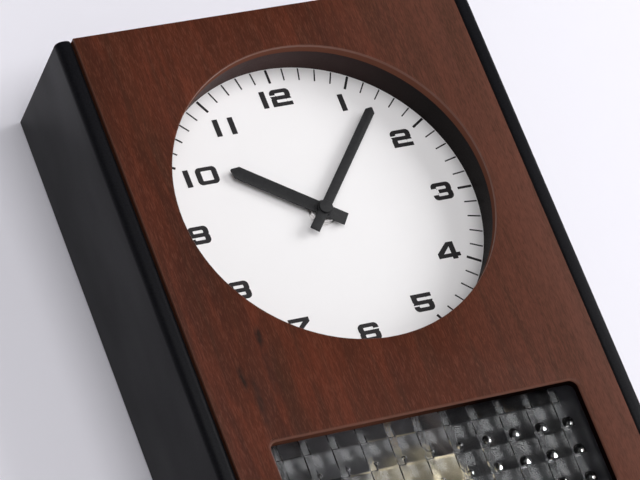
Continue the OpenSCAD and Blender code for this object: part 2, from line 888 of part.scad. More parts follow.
module motion_wheel() color([0.85, 0.83, 0.78]) at_dial() translate([motion_at[0], 0, motion_at[1]])
  difference() {
    union() {
      slab(layer_y[0], layer_y[1]) gear(motion_pinion_n, hour_m, motion_pinion_phase);
      slab(layer_y[1], layer_y[1] + wheel_t) gear(motion_n, cannon_m, motion_phase);
    }
    slab(layer_y[0] - 1, layer_y[2]) circle(thin_arbor_r + run_gap, $fn = 48);
  }

module hour_wheel() color([0.85, 0.83, 0.78]) at_dial() difference() {
  union() {
    slab(layer_y[0], layer_y[0] + wheel_t) gear(hour_n, hour_m, hour_phase);
    slab(hour_front_y + hour_lip, layer_y[0]) circle(pipe_r, $fn = 48);
  }
  slab(hour_front_y, layer_y[1]) circle(pipe_in_r, $fn = 48);
}

module third_wheel() color([0.85, 0.83, 0.78]) at_dial() translate([third_at[0], 0, third_at[1]]) {
  slab(mv_in_y - socket_d + end_gap, mv_back_y + socket_d - end_gap)
    circle(thin_arbor_r, $fn = 48);
  slab(layer_y[2], layer_y[3]) gear(third_pinion_n, centre_m, third_pinion_phase);
  slab(layer_y[3], layer_y[3] + wheel_t) gear(third_n, third_m, third_phase);
}

motor_bore_d = 3;

module motor_can() color([0.7, 0.7, 0.72]) at_dial() translate([motor_at[0], 0, motor_at[1]])
  difference() {
    slab(can_front_y, mv_back_y) circle(can_r);
    slab(can_front_y - 1, can_front_y + motor_bore_d)
      circle(thin_arbor_r + run_gap, $fn = 48);
  }

module motor_pinion() color([0.8, 0.68, 0.4]) at_dial() translate([motor_at[0], 0, motor_at[1]]) {
  slab(layer_y[3], layer_y[3] + wheel_t) gear(motor_n, third_m, motor_phase);
  slab(layer_y[3], can_front_y + motor_bore_d - end_gap) circle(thin_arbor_r, $fn = 48);
}

knob_gap = 1;
knob_end_t = 1;
knob_front_y = cover_back_y + knob_gap;

module setting_shaft() color([0.7, 0.7, 0.72]) at_dial() translate([set_at[0], 0, set_at[1]]) {
  slab(mv_in_y - socket_d + end_gap, knob_front_y + knob_l - knob_end_t)
    circle(set_shaft_r, $fn = 48);
  slab(layer_y[1], layer_y[1] + wheel_t) gear(set_n, cannon_m, set_phase);
}

module setting_knob() color([0.2, 0.2, 0.22]) at_dial() translate([set_at[0], 0, set_at[1]])
  difference() {
    slab(knob_front_y, knob_front_y + knob_l) difference() {
      circle(knob_r);
      for (i = [0 : 23]) translate(polar(knob_r, i * 15)) circle(0.4, $fn = 16);
    }
    slab(knob_front_y - 1, knob_front_y + knob_l - knob_end_t) circle(set_shaft_r, $fn = 48);
  }

module along_x(x0, x1, r) {
  translate([x0, 0, 0]) rotate([0, 90, 0]) cylinder(h = x1 - x0, r = r);
}

module battery() color([0.75, 0.75, 0.78]) translate([0, cell_y, dial_z - cell_drop]) {
  along_x(-cell_l / 2, cell_l / 2 - button_l, cell_r);
  along_x(cell_l / 2 - button_l, cell_l / 2, button_r);
}

module battery_contacts() color([0.8, 0.68, 0.4])
  translate([0, cell_y, dial_z - cell_drop]) for (side = [0, 1]) mirror([side, 0, 0]) {
    inner_x = mv_w / 2 - mv_wall;
    translate([inner_x - contact_t, -contact_w / 2, -contact_w / 2])
      cube([contact_t, contact_w, contact_w]);
    along_x(cell_l / 2, inner_x - contact_t, contact_r);
  }

// The board fills the case between the pivot's collar, the posts and the bottom wall
module circuit_board() color([0.12, 0.35, 0.2]) at_dial() slab(pcb_front_y, mv_back_y) {
  top = -pivot_drop - collar_r - 1.5;
  bottom = -mv_drop + mv_wall + 0.5;
  w = 2 * (post_x - post_r - pcb_edge / 2);
  translate([-w / 2, bottom]) square([w, top - bottom]);
}

module drive_coil() color([0.72, 0.4, 0.2]) at_dial() translate([0, 0, -magnet_drop])
  slab(coil_front_y, pcb_front_y) difference() {
    circle(coil_r);
    circle(coil_in_r);
  }

// Hands

// A straight hand that points up, with a right-angled tip
module blade(w, tail, l) {
  polygon([[-w / 2, -tail], [w / 2, -tail], [w / 2, l - w / 2], [0.3, l], [-0.3, l],
    [-w / 2, l - w / 2]]);
}

module hour_hand() color([0.15, 0.15, 0.16]) at_dial() difference() {
  union() {
    slab(hour_back_y - hand_t, hour_back_y) rotate(-hour_angle) blade(hour_w, hour_tail, hour_l);
    slab(hour_front_y, hour_back_y) circle(hour_boss_r);
  }
  slab(hour_front_y - 1, hour_front_y + hour_lip) circle(pipe_in_r, $fn = 48);
  slab(hour_front_y + hour_lip, hour_back_y + 1) circle(pipe_r, $fn = 48);
}

module minute_hand() color([0.15, 0.15, 0.16]) at_dial() difference() {
  union() {
    slab(minute_front_y, minute_front_y + hand_t) rotate(-minute_angle)
      blade(minute_w, minute_tail, minute_l);
    slab(minute_front_y, minute_back_y) circle(minute_boss_r);
  }
  slab(minute_front_y - 1, minute_back_y + 1) circle(arbor_r, $fn = 48);
}

module hand_cap() color([0.15, 0.15, 0.16]) at_dial() difference() {
  slab(cap_front_y, minute_front_y) circle(cap_r);
  slab(minute_front_y - cap_h / 2, minute_front_y + 1) circle(arbor_r, $fn = 48);
}

// Pendulum

// The pin has a collar on each side of the leader's hub
module pendulum_pivot() color("silver") at_dial() translate([0, 0, -pivot_drop]) {
  slab(mv_in_y - socket_d, cover_back_y) circle(pivot_r, $fn = 48);
  slab(mv_in_y, hub_front_y - end_gap) circle(collar_r, $fn = 48);
  slab(hub_front_y + hub_l + end_gap, mv_back_y) circle(collar_r, $fn = 48);
}

module pendulum_leader() color([0.85, 0.83, 0.78]) at_dial() difference() {
  union() {
    slab(leader_front_y, leader_back_y) {
      translate([-leader_w / 2, -peg_drop]) square([leader_w, peg_drop - pivot_drop]);
      translate([0, -magnet_drop]) circle(magnet_seat_r);
      translate([0, -peg_drop]) circle(leader_w / 2);
    }
    slab(hub_front_y, hub_front_y + hub_l) translate([0, -pivot_drop]) circle(hub_r);
    slab(leader_back_y, peg_back_y) translate([0, -peg_drop]) circle(peg_r, $fn = 48);
    slab(peg_back_y, peg_back_y + peg_head_t) translate([0, -peg_drop])
      circle(peg_head_r, $fn = 48);
  }
  slab(hub_front_y - 1, hub_front_y + hub_l + 1) translate([0, -pivot_drop])
    circle(pivot_r + run_gap, $fn = 48);
  slab(leader_front_y - 1, leader_back_y + 1) translate([0, -magnet_drop]) circle(magnet_r);
}

module leader_magnet() color([0.5, 0.5, 0.52]) at_dial()
  slab((leader_front_y + leader_back_y - magnet_t) / 2, (leader_front_y + leader_back_y + magnet_t) / 2)
    translate([0, -magnet_drop]) circle(magnet_r);

// The rod's eye hangs on the leader's peg
module pendulum_rod() color([0.8, 0.68, 0.4]) at_dial() {
  slab(rod_y - eye_t / 2, rod_y + eye_t / 2) translate([0, -eye_drop]) difference() {
    circle(eye_r, $fn = 48);
    circle(peg_r + peg_gap, $fn = 48);
  }
  translate([0, rod_y, -rod_end_drop])
    cylinder(h = rod_end_drop - eye_drop - eye_r + 0.8, r = rod_r, $fn = 48);
}

// The bob is a thick lens with a flat rim, bored up and down for the rod
module pendulum_bob() color([0.85, 0.73, 0.45]) at_dial() translate([0, rod_y, -bob_drop]) difference() {
  rotate([90, 0, 0]) rotate_extrude($fn = 120)
    polygon([
      [0, -bob_t / 2], [bob_r * 0.7, -bob_t / 2], [bob_r, -bob_rim_t / 2],
      [bob_r, bob_rim_t / 2], [bob_r * 0.7, bob_t / 2], [0, bob_t / 2]
    ]);
  cylinder(h = 2 * bob_r + 2, r = rod_r, center = true, $fn = 48);
}

module rating_nut() color([0.8, 0.68, 0.4]) at_dial()
  translate([0, rod_y, -nut_top_drop - rating_h]) difference() {
    cylinder(h = rating_h, r = rating_r);
    translate([0, 0, -1]) cylinder(h = rating_h + 2, r = rod_r, $fn = 48);
  }

left_side_board();
right_side_board();
top_board();
bottom_board();
front_panel();
back_board();
hanging_rail();
glue_blocks();
back_screws();
hanger_plate();
hanger_screws();
dial_ring();
dial_plate();
dial_markings();
dial_screws();
patterned_glass();
glass_clips();
clip_screws();
movement_case();
movement_cover();
cover_screws();
movement_bush();
bush_washer();
bush_nut();
minute_arbor();
motion_wheel();
hour_wheel();
third_wheel();
motor_can();
motor_pinion();
setting_shaft();
setting_knob();
battery();
battery_contacts();
circuit_board();
drive_coil();
hour_hand();
minute_hand();
hand_cap();
pendulum_pivot();
pendulum_leader();
leader_magnet();
pendulum_rod();
pendulum_bob();
rating_nut();
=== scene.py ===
"""The looks of a pendulum wall clock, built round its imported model.

A reddish veneered panel stands between two black lacquered boards. It has a round opening with a
recessed white dial, and a window with square-patterned glass in front of a gilt pendulum bob. The
movement, its battery and the pendulum's works are seen from behind, through the back board.
"""

from __future__ import annotations

import json
import logging
import math
from contextlib import contextmanager
from dataclasses import dataclass, field
from enum import Enum
from typing import Any, Callable, Iterator, Sequence

import bmesh
import bpy
from mathutils import Euler, Matrix, Vector, noise

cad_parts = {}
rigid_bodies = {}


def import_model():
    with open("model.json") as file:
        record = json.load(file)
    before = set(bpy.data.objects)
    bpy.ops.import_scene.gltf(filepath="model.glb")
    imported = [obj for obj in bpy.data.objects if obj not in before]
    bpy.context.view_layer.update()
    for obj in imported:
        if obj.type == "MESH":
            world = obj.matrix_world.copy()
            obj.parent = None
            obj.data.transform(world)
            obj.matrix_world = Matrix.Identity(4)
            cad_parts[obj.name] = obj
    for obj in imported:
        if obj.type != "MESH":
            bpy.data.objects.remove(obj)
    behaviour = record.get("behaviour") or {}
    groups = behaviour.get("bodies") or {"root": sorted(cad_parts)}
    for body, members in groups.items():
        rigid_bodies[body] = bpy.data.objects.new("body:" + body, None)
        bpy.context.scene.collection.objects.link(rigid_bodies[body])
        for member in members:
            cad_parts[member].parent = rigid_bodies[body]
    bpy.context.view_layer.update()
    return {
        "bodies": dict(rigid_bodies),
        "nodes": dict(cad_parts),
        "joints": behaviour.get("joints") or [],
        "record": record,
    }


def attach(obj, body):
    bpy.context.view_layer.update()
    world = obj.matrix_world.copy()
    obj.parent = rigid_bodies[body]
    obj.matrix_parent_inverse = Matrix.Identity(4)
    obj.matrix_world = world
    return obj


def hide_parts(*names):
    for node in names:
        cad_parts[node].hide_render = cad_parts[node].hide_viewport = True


LOG = logging.getLogger("wall_clock")
MM = 0.001
DIAL_Z = 237.5
DIAL_SCREW_R = 86.0
# Corners of a CAD node closer than this are one, and its faces flatter than this are one
WELD = 2e-6
FLAT_ANGLE = 0.5
# Edges sharper than this are eased
EASED_ANGLE = 40.0
# Places closer than this count as the same
TOUCH = 1e-6

Pair = tuple[float, float]
Point = tuple[float, float, float]
Colour = tuple[float, float, float, float]
Socket = bpy.types.NodeSocket


# Colour and nodes


def linear(code: str) -> Colour:
    """Turns an sRGB hex value into linear colour.

    Args:
        code: The colour as "#rrggbb".

    Returns:
        Red, green, blue and an alpha of 1, linear.
    """
    parts = [int(code[i : i + 2], 16) / 255 for i in (1, 3, 5)]
    made = [c / 12.92 if c <= 0.04045 else ((c + 0.055) / 1.055) ** 2.4 for c in parts]
    return made[0], made[1], made[2], 1.0


@dataclass(frozen=True)
class Graph:
    """A node tree, with the steps that build a pattern in it."""

    tree: bpy.types.NodeTree

    @property
    def shader(self) -> bpy.types.Node:
        """The main shader of a material."""
        return self.tree.nodes["Principled BSDF"]

    def feed(self, node: bpy.types.Node, key: str | int, value: Any) -> None:
        """Links a socket to a node's input, or sets the input to a plain value.

        Args:
            node: The node that takes it.
            key: The input's name or index.
            value: A socket or a plain value.
        """
        if isinstance(value, Socket):
            self.tree.links.new(value, node.inputs[key])
        else:
            node.inputs[key].default_value = value

    def give(self, name: str, value: Any) -> None:
        """Links or sets one input of the main shader.

        Args:
            name: The input's name.
            value: A socket or a plain value.
        """
        self.feed(self.shader, name, value)

    def node(self, kind: str, inputs: dict[str | int, Any] | None = None, **settings: Any) -> bpy.types.Node:
        """Adds one node with its settings and inputs.

        Args:
            kind: The node's type name without the leading "ShaderNode".
            inputs: Sockets or plain values by input name or index.
            settings: Attributes of the node itself.

        Returns:
            The new node.
        """
        node = self.tree.nodes.new("ShaderNode" + kind)
        for name, value in settings.items():
            setattr(node, name, value)
        for key, value in (inputs or {}).items():
            self.feed(node, key, value)
        return node

    def maths(self, operation: str, *terms: Socket | float) -> Socket:
        """One step of arithmetic.

        Args:
            operation: What is done, as Blender names it.
            terms: Its terms, sockets or numbers.

        Returns:
            The result.
        """
        return self.node("Math", dict(enumerate(terms)), operation=operation).outputs[0]

    def product(self, first: Socket, *others: Socket) -> Socket:
        """Multiplies values with each other.

        Args:
            first: The first value.
            others: The rest.

        Returns:
            The product.
        """
        for other in others:
            first = self.maths("MULTIPLY", first, other)
        return first

    def place(self, pitch: float | Point, centre: Point = (0, 0, 0), turn: Point = (0, 0, 0)) -> Socket:
        """Object coordinates counted in steps of a real size.

        Args:
            pitch: The size of one step, or its sizes along x, y and z, in mm.
            centre: The point that becomes the origin, in mm.
            turn: The turn of the pattern in degrees.

        Returns:
            The vector socket.
        """
        steps = (pitch,) * 3 if isinstance(pitch, (int, float)) else pitch
        scale = tuple(1 / (MM * p) for p in steps)
        angles = [math.radians(a) for a in turn]
        moved = Euler(angles).to_matrix() @ Vector([c * MM * s for c, s in zip(centre, scale)])
        values = {"Scale": scale, "Location": tuple(-v for v in moved), "Rotation": angles}
        spot = self.node("TexCoord").outputs["Object"]
        return self.node("Mapping", {**values, "Vector": spot}).outputs["Vector"]

    def coordinates(self, pitch: float = 1.0) -> tuple[Socket, ...]:
        """The object coordinates one by one.

        Args:
            pitch: The unit that they are counted in, in mm.

        Returns:
            X, Y and Z.
        """
        return tuple(self.node("SeparateXYZ", {"Vector": self.place(pitch)}).outputs)

    def grain(self, pitch: float | Point, detail: float = 2.0, warp: float = 0.0) -> Socket:
        """A cloudy value with spots of a real size.

        Args:
            pitch: The spots' size, or its sizes along x, y and z, in mm.
            detail: How many finer layers lie on it.
            warp: How much the spots are distorted.

        Returns:
            The value socket, about 0.3 to 0.7.
        """
        values = {"Scale": 1.0, "Detail": detail, "Distortion": warp, "Vector": self.place(pitch)}
        return self.node("TexNoise", values).outputs[0]

    def spread(self, value: Socket, low: float, high: float, start: float = 0.35, end: float = 0.65) -> Socket:
        """Maps the values from start to end onto low to high.

        Args:
            value: The value to map.
            low: The result at the start and before it.
            high: The result at the end and past it.
            start: Where the change starts.
            end: Where it ends.

        Returns:
            The mapped value.
        """
        values = {"From Min": start, "From Max": end, "To Min": low, "To Max": high, "Value": value}
        return self.node("MapRange", values).outputs["Result"]

    def ramp(self, value: Socket, *stops: tuple[float, str]) -> Socket:
        """Turns a value into colour.

        Args:
            value: The value, 0 to 1.
            stops: Pairs of position and sRGB hex value, in rising order.

        Returns:
            The colour.
        """
        node = self.node("ValToRGB", {"Fac": value})
        points = node.color_ramp.elements
        while len(points) < len(stops):
            points.new(0.5)
        for point, (place, code) in zip(points, stops):
            point.position = place
            point.color = linear(code)
        return node.outputs["Color"]

    def tint(self, under: Socket | Colour, over: str, share: Socket) -> Socket:
        """Lays one colour over another by a share.

        Args:
            under: The colour below.
            over: The sRGB hex value of the colour above.
            share: How much of the upper colour shows.

        Returns:
            The mixed colour.
        """
        return self.node("Mix", {0: share, 6: under, 7: linear(over)}, data_type="RGBA").outputs[2]

    def relief(self, height: Socket, depth: float, strength: float) -> None:
        """Gives the shader a bump.

        Args:
            height: The height value, 0 to 1.
            depth: The real depth of a step of 1, in mm.
            strength: The bump's strength.
        """
        bump = self.node("Bump", {"Strength": strength, "Distance": depth * MM, "Height": height})
        self.give("Normal", bump.outputs["Normal"])


# Finishes


@dataclass(frozen=True)
class Finish:
    """What every finish shares: a name and the shader's plain values."""

    name: str
    colour: str
    roughness: float = 0.5
    metallic: float = 0.0
    ior: float = 1.5
    sheen: float = 0.5

    def material(self) -> bpy.types.Material:
        """Makes the material once and hands out the same one afterwards.

        Returns:
            The finish as a Blender material.
        """
        made = bpy.data.materials.get(self.name)
        if made is None:
            made = bpy.data.materials.new(self.name)
            made.use_nodes = True
            graph = Graph(made.node_tree)
            graph.give("Base Color", linear(self.colour))
            graph.give("Roughness", self.roughness)
            graph.give("Metallic", self.metallic)
            if self.metallic < 0.5:
                graph.give("IOR", self.ior)
                graph.give("Specular IOR Level", self.sheen)
            self.detail(graph)
        return made

    def detail(self, graph: Graph) -> None:
        """Adds the finish's own pattern; each finish gives its own.

        Args:
            graph: The material's nodes.
        """

    def roughen(self, graph: Graph, value: Socket, first: float, last: float) -> None:
        """Lets the roughness follow a value.

        Args:
            graph: The material's nodes.
            value: The value that it follows.
            first: What is added where the value is low.
            last: What is added where it is high.
        """
        graph.give("Roughness", graph.spread(value, self.roughness + first, self.roughness + last))


@dataclass(frozen=True)
class Veneer(Finish):
    """Open-pored rosewood veneer under a satin oil finish, cut edges a little paler.

    It gives the eye a reddish brown with long darker bands, orange-red flames, fine upright fibres
    and two small dark knots. Towards the right the wood is painted lighter and duller, a painted
    sheen. The eased edges are paler and shine more, and the walls of the two openings are painted
    dark, a painted shade that is deeper at the right and faint in the round opening.
    """

    dark: str = "#361a12"
    flame: str = "#612d1c"
    fibre: str = "#6b4033"
    shade: str = "#2f2217"
    edge: str = "#744a3b"
    # The walls of the openings are painted dark in this colour, a painted shade
    recess_shade: str = "#150b09"
    # Towards the right the wood is painted towards this colour, a painted sheen
    mottle_and_sheen: str = "#6a473c"
    knot: str = "#1d1510"
    # Two knots and the faint tails under them: (x, half width, z) in mm, how long and how dark
    spots: tuple[tuple[Point, float, float], ...] = (
        ((-65.5, 2.7, 170.5), 3.4, 0.85),
        ((-81.0, 2.9, 151.5), 3.4, 0.85),
        ((-66.5, 3.6, 152.0), 7.0, 0.55),
        ((-77.0, 3.0, 139.0), 7.0, 0.55),
    )

    def detail(self, graph: Graph) -> None:
        """Builds bands, flames, fibres, knots, the paler edges, the painted sheen at the right and the painted
        shade on the walls.

        Args:
            graph: The material's nodes.
        """
        bands = graph.grain((26, 26, 190), 4, 0.5)
        base = graph.ramp(bands, (0.22, self.dark), (0.46, self.colour), (0.6, self.colour), (0.85, self.flame))
        # Flames are streaks of about 8 by 55 mm, stronger at the left half of the panel
        side = graph.coordinates(100)[0]
        hot = graph.spread(graph.grain((8, 8, 55), 5, 0.8), 0, 1, 0.43, 0.75)
        base = graph.tint(base, self.flame, graph.product(hot, graph.spread(side, 0.75, 0.35, -0.6, 0.6)))
        # Painted sheen: the wood is painted lighter and duller towards the right, where the light from the right
        # shines off it
        base = graph.tint(base, self.mottle_and_sheen, graph.spread(side, 0, 0.5, 0.2, 1.0))
        cold = graph.spread(graph.grain((7, 7, 90), 5, 0.6), 0, 0.6, 0.48, 0.78)
        base = graph.tint(base, self.shade, cold)
        # Fibres about 0.6 mm wide and 4 mm long, coarser than real pores so that they show
        fibres = graph.grain((0.55, 0.55, 4), 3, 0.7)
        base = graph.tint(base, self.fibre, graph.spread(fibres, 0, 0.4, 0.5, 0.68))
        base = graph.tint(base, self.dark, graph.spread(fibres, 0.4, 0, 0.32, 0.5))
        for (x, size, z), stretch, share in self.spots:
            spot = graph.place((size, 40, stretch * size), (x, -37, z), (0, -12, 0))
            ball = graph.node("TexGradient", {"Vector": spot}, gradient_type="SPHERICAL").outputs["Fac"]
            ragged = graph.product(ball, graph.grain((1.6, 4, 5), 4, 0.6))
            base = graph.tint(base, self.knot, graph.spread(ragged, 0, share, 0.08, 0.4))
        normal = graph.node("TexCoord").outputs["Normal"]
        facing = graph.node("SeparateXYZ", {"Vector": normal}).outputs["Y"]
        flat = graph.maths("ABSOLUTE", facing)
        base = graph.tint(base, self.edge, graph.spread(flat, 1, 0, 0.5, 0.97))
        # Painted shade: the window's walls are painted dark, less at the left; those of the round opening hardly
        # are
        _, y, z = graph.coordinates()
        deep = graph.spread(y, 0, 1, -35.6, -35.3)
        low = graph.product(graph.spread(z, 1, 0.1, 135, 136), graph.spread(side, 0.25, 1, -0.3, 0.3))
        graph.give("Base Color", graph.tint(base, self.recess_shade, graph.product(deep, low)))
        shine = graph.spread(flat, 0.5, self.sheen, 0.7, 0.97)
        graph.give("Specular IOR Level", graph.product(shine, graph.maths("SUBTRACT", 1.0, deep)))
        self.roughen(graph, fibres, 0.08, -0.06)
        graph.relief(fibres, 0.06, 0.4)


@dataclass(frozen=True)
class Lacquer(Finish):
    """Satin black lacquer sprayed on fibreboard, grey primer on the faces inside the case.

    It gives the eye an even near-black with a soft, slightly uneven sheen.
    """

    light: str = "#18181c"
    primer: str = "#626269"
    inner_x: float = 100.0
    inner_y: float = -31.0
    inner_z: Pair = (9.0, 331.0)

    def detail(self, graph: Graph) -> None:
        """Builds the sheen's unevenness, its skin and the primer inside.

        Args:
            graph: The material's nodes.
        """
        skin = graph.grain(0.9, 3)
        shade = graph.ramp(skin, (0.3, self.colour), (0.75, self.light))
        x, y, z = graph.coordinates()
        low, high = self.inner_z
        inside = graph.product(
            graph.spread(graph.maths("ABSOLUTE", x), 1, 0, self.inner_x + 0.02, self.inner_x + 0.06),
            graph.spread(y, 0, 1, self.inner_y, self.inner_y + 0.1),
            graph.spread(z, 1, 0, high - 0.1, high + 0.1),
            graph.spread(z, 0, 1, low - 0.1, low + 0.1),
        )
        graph.give("Base Color", graph.tint(shade, self.primer, inside))
        self.roughen(graph, graph.grain((35, 35, 60)), -0.04, 0.05)
        graph.relief(skin, 0.03, 0.35)


@dataclass(frozen=True)
class Moulded(Finish):
    """Injection-moulded plastic with a finely eroded skin.

    It gives the eye one even colour, broken by a fine grain that dulls the shine. A part may be painted darker
    towards the right side of the clock, a painted shade.
    """

    light: str = "#ffffff"
    # The colour of a painted shade towards the right side of the clock, if any
    far: str = ""
    grit: float = 0.7
    depth: float = 0.03

    def detail(self, graph: Graph) -> None:
        """Builds the eroded skin, a faint change of tone and, if given, the painted shade towards the right.

        Args:
            graph: The material's nodes.
        """
        skin = graph.grain(self.grit)
        base = graph.ramp(graph.grain(22), (0.35, self.colour), (0.75, self.light))
        if self.far:
            # Painted shade: the colour darkens towards the right side of the clock, where the ring's inner wall
            # faces away from the light
            base = graph.tint(base, self.far, graph.spread(graph.coordinates()[0], 0, 1, 0, 70))
        graph.give("Base Color", base)
        self.roughen(graph, skin, -0.05, 0.07)
        graph.relief(skin, self.depth, 0.5)


@dataclass(frozen=True)
class Enamel(Finish):
    """Stoving enamel or screen-print ink on sheet metal.

    It gives the eye a smooth flat colour, with the faint mottle of sprayed paint.
    """

    mottle_and_sheen: str = "#ffffff"
    mottle: float = 6.0

    def detail(self, graph: Graph) -> None:
        """Builds the mottle and the paint's skin.

        Args:
            graph: The material's nodes.
        """
        cloud = graph.grain(self.mottle, 3)
        graph.give("Base Color", graph.ramp(cloud, (0.35, self.colour), (0.7, self.mottle_and_sheen)))
        skin = graph.grain(0.8)
        self.roughen(graph, skin, -0.03, 0.05)
        graph.relief(skin, 0.012, 0.4)


@dataclass(frozen=True)
class Metal(Finish):
    """Plated, turned or drawn metal, with marks along one axis.

    It gives the eye a coloured mirror, softened by fine lines and a few duller clouds.
    """

    dull: str = "#808080"
    lines: Point = (0.5, 6.0, 0.5)
    metallic: float = 1.0

    def detail(self, graph: Graph) -> None:
        """Builds the clouds of tarnish and the lines.

        Args:
            graph: The material's nodes.
        """
        cloud = graph.grain(5, 4, 0.5)
        graph.give("Base Color", graph.ramp(cloud, (0.38, self.colour), (0.72, self.dull)))
        marks = graph.grain(self.lines)
        self.roughen(graph, marks, -0.06, 0.1)
        graph.relief(marks, 0.01, 0.3)


@dataclass(frozen=True)
class Fibreboard(Finish):
    """Pressed hardboard: brown and smooth outside, dark grey primer on the side that faces the case.

    It gives the eye a mat of short fibres in two browns, with a dull waxed skin.
    """

    pale: str = "#7d5f45"
    cloud: str = "#4a3626"
    primer: str = "#2e2e33"
    front_y: float = 32.0

    def detail(self, graph: Graph) -> None:
        """Builds the mat of fibres and the primed side.

        Args:
            graph: The material's nodes.
        """
        mat = graph.grain((1.1, 1.1, 3.2), 5, 1.5)
        shade = graph.ramp(mat, (0.3, self.colour), (0.7, self.pale))
        shade = graph.tint(shade, self.cloud, graph.spread(graph.grain(40), 0, 0.35))
        front = graph.spread(graph.coordinates()[1], 1, 0, self.front_y + 0.02, self.front_y + 0.1)
        graph.give("Base Color", graph.tint(shade, self.primer, front))
        self.roughen(graph, mat, -0.1, 0.1)
        graph.relief(mat, 0.05, 0.5)


@dataclass(frozen=True)
class Softwood(Finish):
    """Planed spruce, grain along the piece.

    It gives the eye pale straw wood with darker winter lines a few millimetres apart.
    """

    winter: str = "#a9773f"
    fibre: str = "#b98a55"
    along: Point = (160.0, 5.0, 4.0)

    def detail(self, graph: Graph) -> None:
        """Builds the winter lines and fine fibres.

        Args:
            graph: The material's nodes.
        """
        line, wood = self.winter, self.colour
        rings = graph.grain(self.along, 3, 1.0)
        shade = graph.ramp(rings, (0.3, line), (0.42, wood), (0.55, wood), (0.62, line), (0.7, wood))
        fibres = graph.grain(tuple(p / 6 for p in self.along))
        graph.give("Base Color", graph.tint(shade, self.fibre, graph.spread(fibres, 0, 0.4)))
        graph.relief(fibres, 0.04, 0.5)


@dataclass(frozen=True)
class Pattern:
    """The measures in mm of the pressed squares, which the pane's shape and its finish share.

    Each square has a rippled flank at its left, a lens beside it, and a small pit with one flat
    facet on the flank, which the glass's finish paints as a bright glint. The pits are smaller
    towards the left of the pane.
    """

    corner: Pair = (-77.4, 111.4)
    pitch: float = 14.45
    band: float = 4.0
    # The pit's middle from the square's lower left corner, and its radius
    pit: Point = (4.2, 3.1, 3.0)
    pit_floor: float = 1.3
    # The facet's tip from the pit's middle, and its slope
    facet: Point = (1.1, 1.5, 0.42)
    # From where to where the pits grow, and the least share of their size
    shrink: Point = (0.0, 45.0, 0.3)


PATTERN = Pattern()


@dataclass(frozen=True)
class PressedGlass(Finish):
    """Pressed soda glass with a fire-polished skin.

    It gives the eye clear, faintly grey glass. The front is smooth, the lenses and flanks on the
    back blur what lies behind them. The small pits throw light aside; they are painted dark, a
    painted shade that is deeper towards the right, and each has one painted glint, a white mirror spot.
    """

    clearness: float = 1.0
    lens_roughness: float = 0.19
    flank_roughness: float = 0.24
    pit_roughness: float = 0.05
    # The pits' painted shade, and below it the white of their painted glints
    dark: str = "#08080a"
    painted_glint: str = "#ffffff"
    spot_loss: float = 0.4
    back_y: float = -31.38
    pattern: Pattern = PATTERN

    def detail(self, graph: Graph) -> None:
        """Makes the glass clear, its back as rough as each part of a square is, and paints the pits' shade and
        glints.

        Args:
            graph: The material's nodes.
        """
        made = self.pattern
        graph.give("Transmission Weight", self.clearness)
        x, y, z = graph.coordinates()
        u, w = (
            graph.maths("FLOORED_MODULO", graph.maths("SUBTRACT", spot, start), made.pitch)
            for spot, start in zip((x, z), made.corner)
        )
        away = [graph.maths("POWER", graph.maths("SUBTRACT", v, c), 2.0) for v, c in zip((u, w), made.pit)]
        start, end, least = made.shrink
        square = graph.maths("DIVIDE", graph.maths("ADD", *away), graph.spread(x, least**2, 1, start, end))
        in_pit = graph.spread(square, 1, 0, made.pit[2] ** 2 - 0.5, made.pit[2] ** 2)
        # The pits are cut off straight at the bottom, and the top row of squares has none
        over = graph.product(
            graph.spread(w, 0, 1, made.pit_floor - 0.1, made.pit_floor),
            graph.spread(z, 1, 0, made.corner[1], made.corner[1] + 0.05),
        )
        inside = graph.product(in_pit, over)
        behind = graph.spread(y, 0, 1, self.back_y, self.back_y + 0.08)
        lens = graph.spread(u, self.flank_roughness, self.lens_roughness, made.band - 0.1, made.band)
        drop = graph.product(graph.maths("SUBTRACT", lens, self.pit_roughness), inside)
        rough = graph.product(graph.maths("SUBTRACT", lens, drop), behind)
        graph.give("Roughness", graph.maths("ADD", rough, self.roughness))
        # Painted glints: the facets are painted as white mirrors, larger towards the side that the light comes
        # from, and downwards
        across = graph.maths("ABSOLUTE", graph.maths("SUBTRACT", u, made.pit[0] + made.facet[0]))
        leaning = graph.maths("MULTIPLY_ADD", w, made.facet[2], across)
        left = graph.maths("MULTIPLY", graph.spread(x, 1, 0, 0, 78), self.spot_loss)
        leaning = graph.maths("ADD", leaning, graph.maths("ADD", left, graph.spread(z, 0, 0.55, 78, 104)))
        edge = made.facet[2] * (made.facet[1] + made.pit[1])
        spot = graph.product(graph.spread(leaning, 1, 0, edge, edge + 0.1), over, behind, inside)
        # Painted shade: the pits are painted dark, more so towards the right, as if they threw all light aside
        dim = graph.product(inside, behind, graph.spread(x, 0.3, 1, -15, 40))
        shade = graph.tint(linear(self.colour), self.dark, dim)
        graph.give("Base Color", graph.tint(shade, self.painted_glint, spot))
        graph.give("Metallic", spot)
        graph.relief(graph.grain(2.6), 0.05, 0.35)


